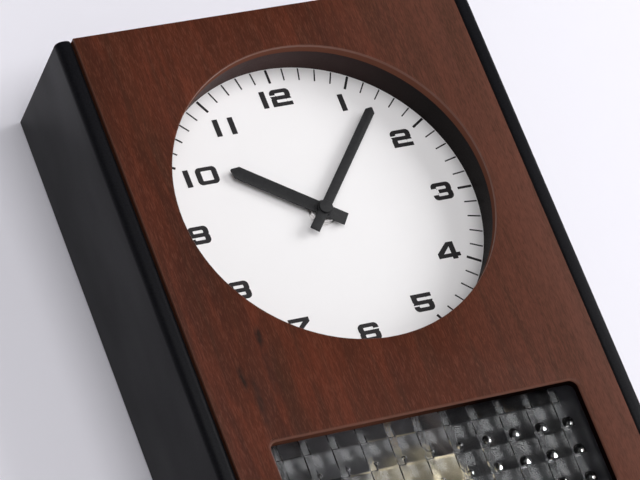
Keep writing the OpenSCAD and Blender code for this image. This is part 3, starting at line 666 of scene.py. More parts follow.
@dataclass(frozen=True)
class CellJacket(Finish):
    """Printed plastic film round a dry cell, with bright crimped ends.

    It gives the eye a dark glossy sleeve, a copper-coloured band at one end, and steel at both ends.
    """

    light: str = "#2b2d31"
    band: str = "#b8733a"
    band_x: float = 8.0
    steel: str = "#b9bbbe"
    half: float = 24.4

    def detail(self, graph: Graph) -> None:
        """Builds the band and the metal ends by the distance along the cell.

        Args:
            graph: The material's nodes.
        """
        along = graph.coordinates()[0]
        skin = graph.grain(3)
        shade = graph.ramp(skin, (0.35, self.colour), (0.7, self.light))
        shade = graph.tint(shade, self.band, graph.spread(along, 0, 1, self.band_x, self.band_x + 0.2))
        ends = graph.spread(graph.maths("ABSOLUTE", along), 0, 1, self.half - 0.7, self.half - 0.5)
        graph.give("Base Color", graph.tint(shade, self.steel, ends))
        graph.give("Metallic", ends)
        self.roughen(graph, skin, -0.04, 0.06)


@dataclass(frozen=True)
class CoilWire(Finish):
    """Enamelled copper wire wound in even layers.

    It gives the eye close rings of reddish copper under clear enamel.
    """

    gap: str = "#5e2410"
    centre: Point = (0.0, 0.0, 158.5)
    wire: float = 0.55
    metallic: float = 1.0

    def detail(self, graph: Graph) -> None:
        """Builds rings round the coil's axis, drawn at twice the real wire so that they show.

        Args:
            graph: The material's nodes.
        """
        values = {"Scale": 0.314, "Distortion": 0.3, "Detail": 1.0, "Vector": graph.place(self.wire, self.centre)}
        rings = graph.node("TexWave", values, wave_type="RINGS", rings_direction="Y").outputs["Fac"]
        graph.give("Base Color", graph.ramp(rings, (0.0, self.gap), (0.6, self.colour)))
        graph.relief(rings, 0.12, 0.8)


@dataclass(frozen=True)
class Laminate(Finish):
    """Phenolic circuit board with tinned tracks under green solder mask.

    It gives the eye a green plate, with lighter raised tracks in square runs.
    """

    track: str = "#3f8a4c"

    def detail(self, graph: Graph) -> None:
        """Builds the tracks from square cells.

        Args:
            graph: The material's nodes.
        """
        values = {"Scale": 1.0, "Randomness": 0.55, "Vector": graph.place((5, 5, 4))}
        cells = graph.node("TexVoronoi", values, distance="CHEBYCHEV").outputs["Distance"]
        runs = graph.spread(cells, 0, 1, 0.32, 0.36)
        graph.give("Base Color", graph.ramp(runs, (0.2, self.colour), (0.8, self.track)))
        graph.relief(runs, 0.05, 0.6)


VENEER = Veneer("oiled_rosewood_veneer", "#462113", 0.4, ior=1.45, sheen=0.1)
LACQUER = Lacquer("satin_black_lacquer", "#0c0c0f", 0.45, ior=1.45, sheen=0.1)
# The ring is painted darker towards the right, a painted shade on the inner wall that faces away from the light
RING_ABS = Moulded("dark_brown_abs", "#42302e", 0.55, sheen=0.1, light="#4a3634", far="#0f0706")
DIAL_ENAMEL = Enamel("white_dial_enamel", "#f0eeef", 0.4, mottle_and_sheen="#f1eff0", mottle=20.0)
DIAL_INK = Enamel("black_dial_ink", "#161316", 0.6, sheen=0.3, mottle_and_sheen="#1d1a1c", mottle=3.0)
HAND_ENAMEL = Enamel("matt_black_hand_enamel", "#1a1a1c", 0.62, sheen=0.35, mottle_and_sheen="#232325", mottle=2.0)
NICKEL = Metal("bright_nickel_plate", "#f0eeee", 0.42, dull="#dcd9d8")
ZINC = Metal("zinc_plated_steel", "#b4b6b8", 0.3, dull="#8c8d8b")
BRASS = Metal("turned_brass", "#cfa75a", 0.28, dull="#a9803c")
GILT = Metal("gilt_brass_shell", "#cfc4a9", 0.3, dull="#b9ab8a")
CAN_STEEL = Metal("tinned_can_steel", "#a9abad", 0.32, dull="#85878a")
CONTACT = Metal("nickelled_contact_strip", "#c3bfb4", 0.25, dull="#a19c90")
HARDBOARD = Fibreboard("waxed_hardboard", "#5f4632", 0.6)
SPRUCE = Softwood("planed_spruce", "#d6b27c", 0.62)
SPRUCE_UPRIGHT = Softwood("planed_spruce_upright", "#d3ae77", 0.62, along=(4.0, 5.0, 120.0))
MOVEMENT_ABS = Moulded("black_abs_movement", "#1c1c1e", 0.48, ior=1.53, light="#262628", grit=0.9)
ACETAL = Moulded("natural_acetal", "#e6e3da", 0.35, ior=1.48, light="#f1efe8", grit=1.5, depth=0.01)
JACKET = CellJacket("dry_cell_jacket", "#1d1e22", 0.3)
COPPER = CoilWire("enamelled_copper_wire", "#c9733f", 0.3)
LAMINATE = Laminate("green_circuit_laminate", "#1f5a30", 0.45, ior=1.55)
FERRITE = Enamel("sintered_ferrite", "#3a3a3e", 0.55, ior=2.2, mottle_and_sheen="#48484d", mottle=1.2)
GLASS = PressedGlass("pressed_soda_glass", "#f3f4f6", 0.02, ior=1.55)


# Workshop: small steps that every piece shares


def deselect_all() -> None:
    """Leaves edit mode, if it is on, and lets go of every object."""
    if bpy.context.mode != "OBJECT":
        bpy.ops.object.mode_set(mode="OBJECT")
    bpy.ops.object.select_all(action="DESELECT")


def take(*things: bpy.types.Object) -> None:
    """Selects only these objects and makes the first the active one.

    Args:
        things: The objects to select.
    """
    deselect_all()
    for thing in things:
        thing.select_set(True)
    bpy.context.view_layer.objects.active = things[0]


def added(name: str) -> bpy.types.Object:
    """Names the primitive that was added last.

    Args:
        name: The object's and the mesh's name.

    Returns:
        The object.
    """
    piece = bpy.context.object
    piece.name = piece.data.name = name
    return piece


def fixed(name: str) -> bpy.types.Object:
    """Names the primitive that was added last and puts its place into its mesh.

    Args:
        name: The object's and the mesh's name.

    Returns:
        The object.
    """
    piece = added(name)
    bpy.ops.object.transform_apply(location=True, rotation=True, scale=True)
    return piece


@contextmanager
def editing(piece: bpy.types.Object, mode: str = "FACE") -> Iterator[bmesh.types.BMesh]:
    """Opens a piece in edit mode with nothing selected.

    Args:
        piece: The piece to shape.
        mode: VERT, EDGE or FACE.

    Yields:
        Its mesh, for choosing what the next operator acts on.
    """
    take(piece)
    bpy.ops.object.mode_set(mode="EDIT")
    bpy.ops.mesh.select_mode(type=mode)
    bpy.ops.mesh.select_all(action="DESELECT")
    yield bmesh.from_edit_mesh(piece.data)
    bpy.ops.object.mode_set(mode="OBJECT")


def pick(piece: bpy.types.Object, kind: str, test: Callable[[Any], bool]) -> int:
    """Selects the faces, edges or vertices that pass a test, and nothing else.

    Args:
        piece: The piece in edit mode.
        kind: "faces", "edges" or "verts".
        test: Says whether an element is wanted.

    Returns:
        How many were selected.
    """
    bpy.ops.mesh.select_all(action="DESELECT")
    mesh = bmesh.from_edit_mesh(piece.data)
    chosen = [e for e in getattr(mesh, kind) if test(e)]
    for element in chosen:
        element.select_set(True)
    mesh.select_flush_mode()
    bmesh.update_edit_mesh(piece.data)
    return len(chosen)


def middle(edge: bmesh.types.BMEdge) -> Vector:
    """The middle of an edge."""
    return (edge.verts[0].co + edge.verts[1].co) / 2


def slice_upright(piece: bpy.types.Object, x: Pair, z: Pair, trim: bool) -> None:
    """Cuts a piece along the four sides of an upright rectangle.

    Args:
        piece: The piece to cut.
        x: The rectangle's left and right side in mm.
        z: Its lower and upper side in mm.
        trim: Whether what lies outside goes.
    """
    sides = [((v, 0, 0), (way, 0, 0)) for v, way in zip(x, (-1, 1))]
    sides += [((0, 0, v), (0, 0, way)) for v, way in zip(z, (-1, 1))]
    with editing(piece):
        for point, normal in sides:
            bpy.ops.mesh.select_all(action="SELECT")
            bpy.ops.mesh.bisect(plane_co=Vector(point) * MM, plane_no=normal, clear_outer=trim)


def apply_modifier(piece: bpy.types.Object, kind: str, **settings: Any) -> None:
    """Adds a modifier and applies it at once.

    Args:
        piece: The piece that takes it.
        kind: The modifier's type.
        settings: The modifier's values.
    """
    take(piece)
    modifier = piece.modifiers.new(kind.title(), kind)
    for name, value in settings.items():
        setattr(modifier, name, value)
    bpy.ops.object.modifier_apply(modifier=modifier.name)


def cut(piece: bpy.types.Object, cutter: bpy.types.Object, operation: str = "DIFFERENCE") -> None:
    """Cuts one closed piece by another and removes the cutter.

    Args:
        piece: The piece that stays.
        cutter: The piece that is used up.
        operation: DIFFERENCE, UNION or INTERSECT.
    """
    apply_modifier(piece, "BOOLEAN", object=cutter, operation=operation, solver="EXACT")
    bpy.data.objects.remove(cutter)


def settle(piece: bpy.types.Object, angle: float = 35.0) -> bpy.types.Object:
    """Puts the piece's place into its mesh, turns its normals out and shades it.

    Args:
        piece: The piece to finish.
        angle: Edges sharper than this stay sharp, in degrees.

    Returns:
        The piece.
    """
    take(piece)
    bpy.ops.object.transform_apply(location=True, rotation=True, scale=True)
    with editing(piece):
        bpy.ops.mesh.select_all(action="SELECT")
        bpy.ops.mesh.normals_make_consistent(inside=False)
        if bmesh.from_edit_mesh(piece.data).calc_volume(signed=True) < 0:
            bpy.ops.mesh.flip_normals()
            LOG.info("%s: normals turned out", piece.name)
    take(piece)
    bpy.ops.object.shade_smooth_by_angle(angle=math.radians(angle))
    return piece


def coat(piece: bpy.types.Object, material: bpy.types.Material) -> None:
    """Gives a piece one material in place of what it has.

    Args:
        piece: The piece.
        material: Its new material.
    """
    piece.data.materials.clear()
    piece.data.materials.append(material)


def hand_over(piece: bpy.types.Object, body: str, finish: Finish, node: str) -> None:
    """Dresses a finished piece and lets it stand for its CAD node.

    Args:
        piece: The finished piece.
        body: The CAD body that it rides on.
        finish: Its finish.
        node: The CAD node that it replaces.
    """
    coat(piece, finish.material())
    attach(piece, body)
    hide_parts(node)
    LOG.info("%s: %d faces, on %s", piece.name, len(piece.data.polygons), body)


@dataclass
class Assembly:
    """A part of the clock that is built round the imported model.
    """

    frame: dict[str, Any]

    def build(self) -> None:
        """Builds and dresses the assembly; each one does this its own way."""

    def copy_of(self, node: str, name: str) -> bpy.types.Object:
        """A copy of a CAD node, merged and with its flat faces whole again.

        Args:
            node: The CAD node.
            name: The copy's name.

        Returns:
            The copy, ready for its edges to be worked.
        """
        mesh = self.frame["nodes"][node].data.copy()
        mesh.name = name
        piece = bpy.data.objects.new(name, mesh)
        bpy.context.scene.collection.objects.link(piece)
        take(piece)
        bpy.ops.mesh.customdata_custom_splitnormals_clear()
        with editing(piece, "VERT"):
            bpy.ops.mesh.select_all(action="SELECT")
            bpy.ops.mesh.remove_doubles(threshold=WELD)
            bpy.ops.mesh.dissolve_limited(angle_limit=math.radians(FLAT_ANGLE))
        return piece

    def eased(self, node: str, name: str, width: float, segments: int = 2) -> bpy.types.Object:
        """A copy of a CAD node with all its sharp edges broken.

        Args:
            node: The CAD node.
            name: The copy's name.
            width: The width of the rounding in mm.
            segments: Its steps.

        Returns:
            The finished copy.
        """
        piece = self.copy_of(node, name)
        apply_modifier(
            piece,
            "BEVEL",
            width=width * MM,
            segments=segments,
            limit_method="ANGLE",
            angle_limit=math.radians(EASED_ANGLE),
            miter_outer="MITER_ARC",
            use_clamp_overlap=True,
        )
        return settle(piece)

    def dress(self, looks: dict[str, Finish]) -> None:
        """Gives CAD nodes, whose shapes are right as they are, their finishes.

        Args:
            looks: The finish of each node.
        """
        for node, finish in looks.items():
            coat(self.frame["nodes"][node], finish.material())
            LOG.info("%s: dressed in %s", node, finish.name)


# Screws


class Head(Enum):
    """The shape of a screw's head."""

    PAN = "pan"
    COUNTERSUNK = "countersunk"


@dataclass
class ScrewSet(Assembly):
    """A group of equal cross-head screws with their heads towards +Y."""

    node: str
    places: Sequence[Pair]
    seat_y: float
    head_r: float
    head_h: float
    shank_r: float
    length: float
    head: Head = Head.PAN
    # How much of a pan head's height is rounded
    dome: float = 0.55
    # The cross's length and width by the head's radius, its half depth by the height, and its taper
    cross: Pair = (1.15, 0.26)
    cross_depth: float = 0.62
    cross_taper: float = 0.55
    # The shares of the shank that are straight and pointed, and the size of its tip
    shank: Pair = (0.85, 0.15)
    tip: float = 0.35
    # The turn of the first screw and how much further each next one is turned, in degrees
    turns: Pair = (11, 37)

    def model(self) -> bpy.types.Object:
        """Models one screw along +Z, with the head's seat at the origin.

        Returns:
            The screw.
        """
        r, h = self.head_r * MM, self.head_h * MM
        low = -h if self.head is Head.COUNTERSUNK else 0.0
        deselect_all()
        bpy.ops.mesh.primitive_cylinder_add(vertices=36, radius=r, depth=h, location=(0, 0, low + h / 2))
        screw = fixed(self.node + "_model")
        with editing(screw):
            if self.head is Head.PAN:
                pick(screw, "edges", lambda e: middle(e).z > 0.9 * h and middle(e).xy.length > 0.9 * r)
                bpy.ops.mesh.bevel(offset=self.dome * h, segments=5, affect="EDGES")
            pick(screw, "faces", lambda f: f.normal.z < -0.9)
            if self.head is Head.COUNTERSUNK:
                share = self.shank_r / self.head_r
                bpy.ops.transform.resize(value=(share, share, 1), center_override=(0, 0, low))
            else:
                bpy.ops.mesh.inset(thickness=r - self.shank_r * MM)
            self.extrude_shank(low)
        cut(screw, self.recess(r, h, low + h))
        return screw

    def extrude_shank(self, low: float) -> None:
        """Draws the chosen face down as the shank and points its end.

        Args:
            low: The shank's start in metres.
        """
        long = self.length * MM + low
        for share in self.shank:
            bpy.ops.mesh.extrude_region_move(TRANSFORM_OT_translate={"value": (0, 0, -share * long)})
        bpy.ops.transform.resize(value=(self.tip, self.tip, 1), center_override=(0, 0, 0))

    def recess(self, r: float, h: float, top: float) -> bpy.types.Object:
        """Models the tapered cross that is cut from the head.

        Args:
            r: The head's radius in metres.
            h: The head's height in metres.
            top: The head's top in metres.

        Returns:
            The cutter.
        """
        (long, wide), deep = self.cross, self.cross_depth * h
        bars = []
        for turn in (0.0, math.radians(90.0)):
            deselect_all()
            bpy.ops.mesh.primitive_cube_add(
                size=1, location=(0, 0, top), rotation=(0, 0, turn), scale=(long * r, wide * r, 2 * deep)
            )
            bars.append(fixed("recess_bar"))
            with editing(bars[-1]):
                pick(bars[-1], "faces", lambda f: f.normal.z < -0.9)
                narrow = (self.cross_taper, self.cross_taper, 1)
                bpy.ops.transform.resize(value=narrow, center_override=(0, 0, top - deep))
        cut(*bars, "UNION")
        return bars[0]

    def build(self) -> None:
        """Sets a copy at each place and joins them to one piece."""
        model = self.model()
        copies = []
        first, further = self.turns
        for i, (x, z) in enumerate(self.places):
            one = model.copy()
            one.data = model.data.copy()
            bpy.context.scene.collection.objects.link(one)
            spun = Matrix.Rotation(math.radians(further * i + first), 4, "Z")
            turn = Matrix.Rotation(math.radians(-90), 4, "X") @ spun
            one.matrix_world = Matrix.Translation(Vector((x, self.seat_y, z)) * MM) @ turn
            copies.append(one)
        bpy.data.objects.remove(model)
        take(*copies)
        bpy.ops.object.join()
        piece = settle(added(self.node + "_set"))
        hand_over(piece, "case", ZINC, self.node)


# Case


@dataclass
class CaseBoards(Assembly):
    """The boards of the case with eased edges, the back board, the rail and the glue blocks."""

    board_x: Pair = (100.0, 108.5)
    board_y: Pair = (-36.0, 37.0)
    height: float = 340.0
    front_round: float = 3.5
    end_ease: float = 0.7
    # The finish, the record's slot and the width of the easing in mm of each further node
    looks: dict[str, tuple[Finish, str, float]] = field(
        default_factory=lambda: {
            "top_board": (LACQUER, "case_paint", 0.5),
            "bottom_board": (LACQUER, "case_paint", 0.5),
            "back_board": (HARDBOARD, "hardboard", 0.35),
            "hanging_rail": (SPRUCE, "plain_wood", 0.8),
            "glue_blocks": (SPRUCE_UPRIGHT, "plain_wood", 0.8),
            "hanger_plate": (ZINC, "steel", 0.25),
            "glass_clips": (ZINC, "steel", 0.25),
        }
    )

    def side_board(self, side: int) -> bpy.types.Object:
        """Models one side board, its two front edges well rounded.

        Args:
            side: -1 for the left board, 1 for the right one.

        Returns:
            The board.
        """
        (x0, x1), (y0, y1) = self.board_x, self.board_y
        deselect_all()
        bpy.ops.mesh.primitive_cube_add(
            size=1,
            location=Vector((side * (x0 + x1) / 2, (y0 + y1) / 2, self.height / 2)) * MM,
            scale=Vector((x1 - x0, y1 - y0, self.height)) * MM,
        )
        board = fixed("left_board" if side < 0 else "right_board")

        def upright_in_front(e: bmesh.types.BMEdge) -> bool:
            return middle(e).y < (y0 + 0.1) * MM and abs(e.verts[0].co.z - e.verts[1].co.z) > 0.1

        def round_an_end(e: bmesh.types.BMEdge) -> bool:
            return all(min(abs(v.co.z - z) for z in (0.0, self.height * MM)) < TOUCH for v in e.verts)

        with editing(board, "EDGE"):
            pick(board, "edges", upright_in_front)
            bpy.ops.mesh.bevel(offset=self.front_round * MM, segments=10, affect="EDGES")
            pick(board, "edges", round_an_end)
            bpy.ops.mesh.bevel(offset=self.end_ease * MM, segments=3, affect="EDGES")
        return settle(board, 30)

    def build(self) -> None:
        """Builds and dresses the boards."""
        for side, node in ((-1, "left_side_board"), (1, "right_side_board")):
            hand_over(self.side_board(side), "case", LACQUER, node)
        for node, (finish, slot, width) in self.looks.items():
            hand_over(self.eased(node, node + "_eased", width), "case", finish, node)


@dataclass
class FrontPanel(Assembly):
    """The veneered panel with its softened window and the crisper round opening."""

    front_y: float = -37.0
    opening_r: float = 80.0
    # Edges between these, across and upright in mm, are the window's
    window_x: float = 80.5
    window_z: Pair = (20.0, 130.0)
    # Edges past these are the panel's own
    outer_x: float = 99.0
    outer_z: Pair = (0.1, 339.9)
    window_ease: float = 1.5
    opening_ease: float = 0.5
    outer_ease: float = 0.6

    def build(self) -> None:
        """Works the panel's three rows of front edges and dresses it."""
        panel = self.copy_of("front_panel", "veneered_panel")

        def at_front(e: bmesh.types.BMEdge) -> bool:
            sharp = len(e.link_faces) == 2 and e.calc_face_angle(0) > 0.7
            return sharp and all(abs(v.co.y - self.front_y * MM) < TOUCH for v in e.verts)

        def round_opening(e: bmesh.types.BMEdge) -> bool:
            from_dial = math.hypot(middle(e).x, middle(e).z - DIAL_Z * MM) / MM
            return abs(from_dial - self.opening_r) < 0.5

        def round_window(e: bmesh.types.BMEdge) -> bool:
            spot, (low, high) = middle(e) / MM, self.window_z
            return abs(spot.x) < self.window_x and low < spot.z < high

        def outside(e: bmesh.types.BMEdge) -> bool:
            spot, (low, high) = middle(e) / MM, self.outer_z
            return abs(spot.x) > self.outer_x or not low <= spot.z <= high

        groups = (
            (self.opening_ease, round_opening),
            (self.window_ease, round_window),
            (self.outer_ease, outside),
        )
        with editing(panel, "EDGE"):
            for width, test in groups:
                count = pick(panel, "edges", lambda e: at_front(e) and test(e))
                LOG.info("panel: %d edges eased by %.1f mm", count, width)
                bpy.ops.mesh.bevel(offset=width * MM, segments=4, affect="EDGES", clamp_overlap=False)
        hand_over(settle(panel, 30), "case", VENEER, "front_panel")


# Dial and hands


@dataclass
class DialGroup(Assembly):
    """The ring, the enamelled plate, its print, and the nut and washer at the middle."""

    def build(self) -> None:
        """Dresses the CAD nodes."""
        self.dress(
            {
                "dial_ring": RING_ABS,
                "dial_plate": DIAL_ENAMEL,
                "dial_markings": DIAL_INK,
                "bush_washer": NICKEL,
                "bush_nut": NICKEL,
                "movement_bush": BRASS,
            }
        )


@dataclass
class HandSet(Assembly):
    """The two stamped hands and the cap, with just broken edges."""

    hand_ease: float = 0.18
    cap_ease: float = 0.35

    def build(self) -> None:
        """Eases and dresses the hands and the cap."""
        for node, body, width in (
            ("hour_hand", "hour_work", self.hand_ease),
            ("minute_hand", "minute_work", self.hand_ease),
            ("hand_cap", "minute_work", self.cap_ease),
        ):
            hand_over(self.eased(node, node + "_stamped", width, 3), body, HAND_ENAMEL, node)


# Window


@dataclass
class PatternedPane(Assembly):
    """A pressed pane, flat in front, with square lenses, rippled flanks and small pits on its back."""

    x: Pair = (-86.0, 86.0)
    y: Pair = (-31.4, -26.9)
    z: Pair = (17.0, 124.0)
    pattern: Pattern = PATTERN
    # The top of each lens, and its radii across and upright
    crown: Pair = (10.4, 7.8)
    radius: Pair = (34.0, 38.0)
    # The flank's thickness and its slopes across and upwards
    flank: Point = (3.95, 0.12, -0.06)
    ripple: float = 0.2
    # How hollow a pit is, how deep its facet lies, and the facet's slopes
    hollow: float = 0.62
    facet_depth: float = 1.5
    facet_slope: Pair = (0.12, -0.077)
    least: float = 0.6
    steps: tuple[int, int] = (32, 26)

    def thickness(self, u: float, w: float) -> float:
        """How thick the pane is at a place of one square: a flank at the left, a lens beside it.

        Args:
            u: The distance from the square's left edge in mm.
            w: The height over its lower edge in mm.

        Returns:
            The thickness in mm.
        """
        made = self.pattern
        if u < made.band:
            level, across, up = self.flank
            return level + across * (u - made.band) + up * (w - made.pitch / 2)
        sag = (u - self.crown[0]) ** 2 / (2 * self.radius[0]) + (w - self.crown[1]) ** 2 / (2 * self.radius[1])
        return self.y[1] - self.y[0] - 0.05 - sag

    def relief(self, x: float, z: float) -> float:
        """The pane's thickness at a place, with the flank's ripples and pits.

        Args:
            x: Across, in mm.
            z: Up, in mm.

        Returns:
            The thickness in mm.
        """
        made = self.pattern
        u, w = (x - made.corner[0]) % made.pitch, (z - made.corner[1]) % made.pitch
        thick = self.thickness(u, w)
        if u < made.band:
            fade = math.sin(math.pi * u / made.band)
            coarse = noise.noise(Vector((x * 0.9, 3.7, z * 1.1)))
            fine = noise.noise(Vector((x * 1.9, 9.1, z * 2.3)))
            thick += self.ripple * fade * (coarse + 0.6 * fine)
        px, pz, pr = made.pit
        right, up = u - px, w - pz
        start, end, least = made.shrink
        share = min(max((x - u - start) / (end - start), 0.0), 1.0)
        pr *= least + (1 - least) * share
        away = math.hypot(right, up)
        if away < pr and w > made.pit_floor and z < made.corner[1]:
            tip_x, tip_z, slope = made.facet
            thick = self.flank[0] - self.hollow * math.sqrt(pr * pr - away * away)
            if abs(right - tip_x) < slope * (tip_z - up) + 0.3:
                thick = self.flank[0] - self.facet_depth + self.facet_slope[0] * right + self.facet_slope[1] * up
        return min(max(thick, self.least), self.y[1] - self.y[0])

    def build(self) -> None:
        """Models one square as a grid, repeats it, raises the relief and closes the pane."""
        pitch, (left, high) = self.pattern.pitch, self.pattern.corner
        y0, y1 = self.y
        left -= pitch
        low = high - pitch * math.ceil((high - self.z[0]) / pitch)
        deselect_all()
        bpy.ops.mesh.primitive_grid_add(
            x_subdivisions=self.steps[0],
            y_subdivisions=self.steps[1],
            size=pitch * MM,
            location=Vector((left + pitch / 2, y1, low + pitch / 2)) * MM,
            rotation=(math.radians(90), 0, 0),
        )
        pane = fixed("pressed_pane")
        for axis, (start, end) in ((0, self.x), (2, self.z)):
            step = [0.0, 0.0, 0.0]
            step[axis] = pitch * MM
            apply_modifier(
                pane,
                "ARRAY",
                count=math.ceil((end - start) / pitch) + 1,
                use_relative_offset=False,
                use_constant_offset=True,
                constant_offset_displace=step,
                use_merge_vertices=True,
                merge_threshold=1e-5,
            )
        slice_upright(pane, self.x, self.z, True)
        with editing(pane) as mesh:
            for vert in mesh.verts:
                vert.co.y = y0 * MM + self.relief(vert.co.x / MM, vert.co.z / MM) * MM
            bmesh.update_edit_mesh(pane.data)
            pick(pane, "edges", lambda e: e.is_boundary)
            bpy.ops.mesh.extrude_region_move(TRANSFORM_OT_translate={"value": (0, 0, 0)})
            bpy.ops.transform.resize(value=(1, 0, 1), center_override=(0, y0 * MM, 0))
            bpy.ops.mesh.edge_face_add()
        hand_over(settle(pane, 24), "case", GLASS, "patterned_glass")


# Movement


@dataclass
class Movement(Assembly):
    """The quartz movement: moulded case and cover, wheels, motor, cell, contacts and coil."""

    ease: float = 0.45

    def build(self) -> None:
        """Eases the mouldings and dresses the works."""
        for node in ("movement_case", "movement_cover"):
            piece = self.eased(node, node + "_moulding", self.ease)
            # The flat faces set the shading, not the narrow eased edges round them
            apply_modifier(piece, "WEIGHTED_NORMAL", keep_sharp=True)
            hand_over(piece, "case", MOVEMENT_ABS, node)
        self.dress(
            {
                "minute_arbor": BRASS,
                "motion_wheel": ACETAL,
                "hour_wheel": ACETAL,
                "third_wheel": ACETAL,
                "motor_can": CAN_STEEL,
                "motor_pinion": BRASS,
                "setting_shaft": ZINC,
                "setting_knob": MOVEMENT_ABS,
                "battery": JACKET,
                "battery_contacts": CONTACT,
                "circuit_board": LAMINATE,
                "drive_coil": COPPER,
            }
        )


# Pendulum


@dataclass
class Pendulum(Assembly):
    """The domed gilt bob, and the leader, rod, magnet, pivot and nut."""

    centre: Point = (0.0, 0.5, 87.5)
    bob_r: float = 28.0
    bob_t: float = 6.0
    rim_t: float = 3.4
    rim_ease: float = 0.7
    # The flat rim's width, the groove's width and depth, and the bowl's distance from the edge
    rim_w: float = 1.6
    groove: Pair = (0.6, 0.45)
    bowl_gap: float = 2.2
    rings: int = 9
    bore_r: float = 1.4
    bore_length: float = 70.0

    def bob(self) -> bpy.types.Object:
        """Models the bob as a disc whose two faces rise in rings to a shallow dome.

        Returns:
            The bob.
        """
        deselect_all()
        bpy.ops.mesh.primitive_cylinder_add(
            vertices=96,
            radius=self.bob_r * MM,
            depth=self.rim_t * MM,
            location=Vector(self.centre) * MM,
            rotation=(math.radians(90), 0, 0),
        )
        bob = fixed("gilt_bob")
        groove_w, groove_d = self.groove
        rise = (self.bob_t - self.rim_t) / 2 + groove_d
        step = (self.bob_r - self.bowl_gap) / (self.rings + 0.6)
        for face in (-1, 1):
            with editing(bob):
                pick(bob, "faces", lambda f: f.normal.y * face > 0.9)
                bpy.ops.mesh.inset(thickness=self.rim_w * MM)
                bpy.ops.mesh.inset(thickness=groove_w * MM)
                bpy.ops.transform.translate(value=(0, -face * groove_d * MM, 0))
                height = -groove_d
                for i in range(1, self.rings + 1):
                    target = rise * math.sin(i / self.rings * math.pi / 2) ** 0.9 - groove_d
                    bpy.ops.mesh.inset(thickness=step * MM)
                    bpy.ops.transform.translate(value=(0, face * (target - height) * MM, 0))
                    height = target

        def round_the_rim(e: bmesh.types.BMEdge) -> bool:
            reach = [math.hypot(v.co.x, v.co.z - self.centre[2] * MM) for v in e.verts]
            level = abs(e.verts[0].co.y - e.verts[1].co.y) < TOUCH
            return level and all(abs(r - self.bob_r * MM) < TOUCH for r in reach)

        with editing(bob, "EDGE"):
            pick(bob, "edges", round_the_rim)
            bpy.ops.mesh.bevel(offset=self.rim_ease * MM, segments=4, affect="EDGES")
        deselect_all()
        bpy.ops.mesh.primitive_cylinder_add(
            vertices=32, radius=self.bore_r * MM, depth=self.bore_length * MM, location=Vector(self.centre) * MM
        )
        cut(bob, added("rod_bore"))
        return settle(bob, 40)

    def build(self) -> None:
        """Builds the bob and dresses the rest."""
        hand_over(self.bob(), "pendulum", GILT, "pendulum_bob")
        self.dress(
            {
                "pendulum_pivot": ZINC,
                "pendulum_leader": ACETAL,
                "leader_magnet": FERRITE,
                "pendulum_rod": BRASS,
                "rating_nut": BRASS,
            }
        )


# Studio


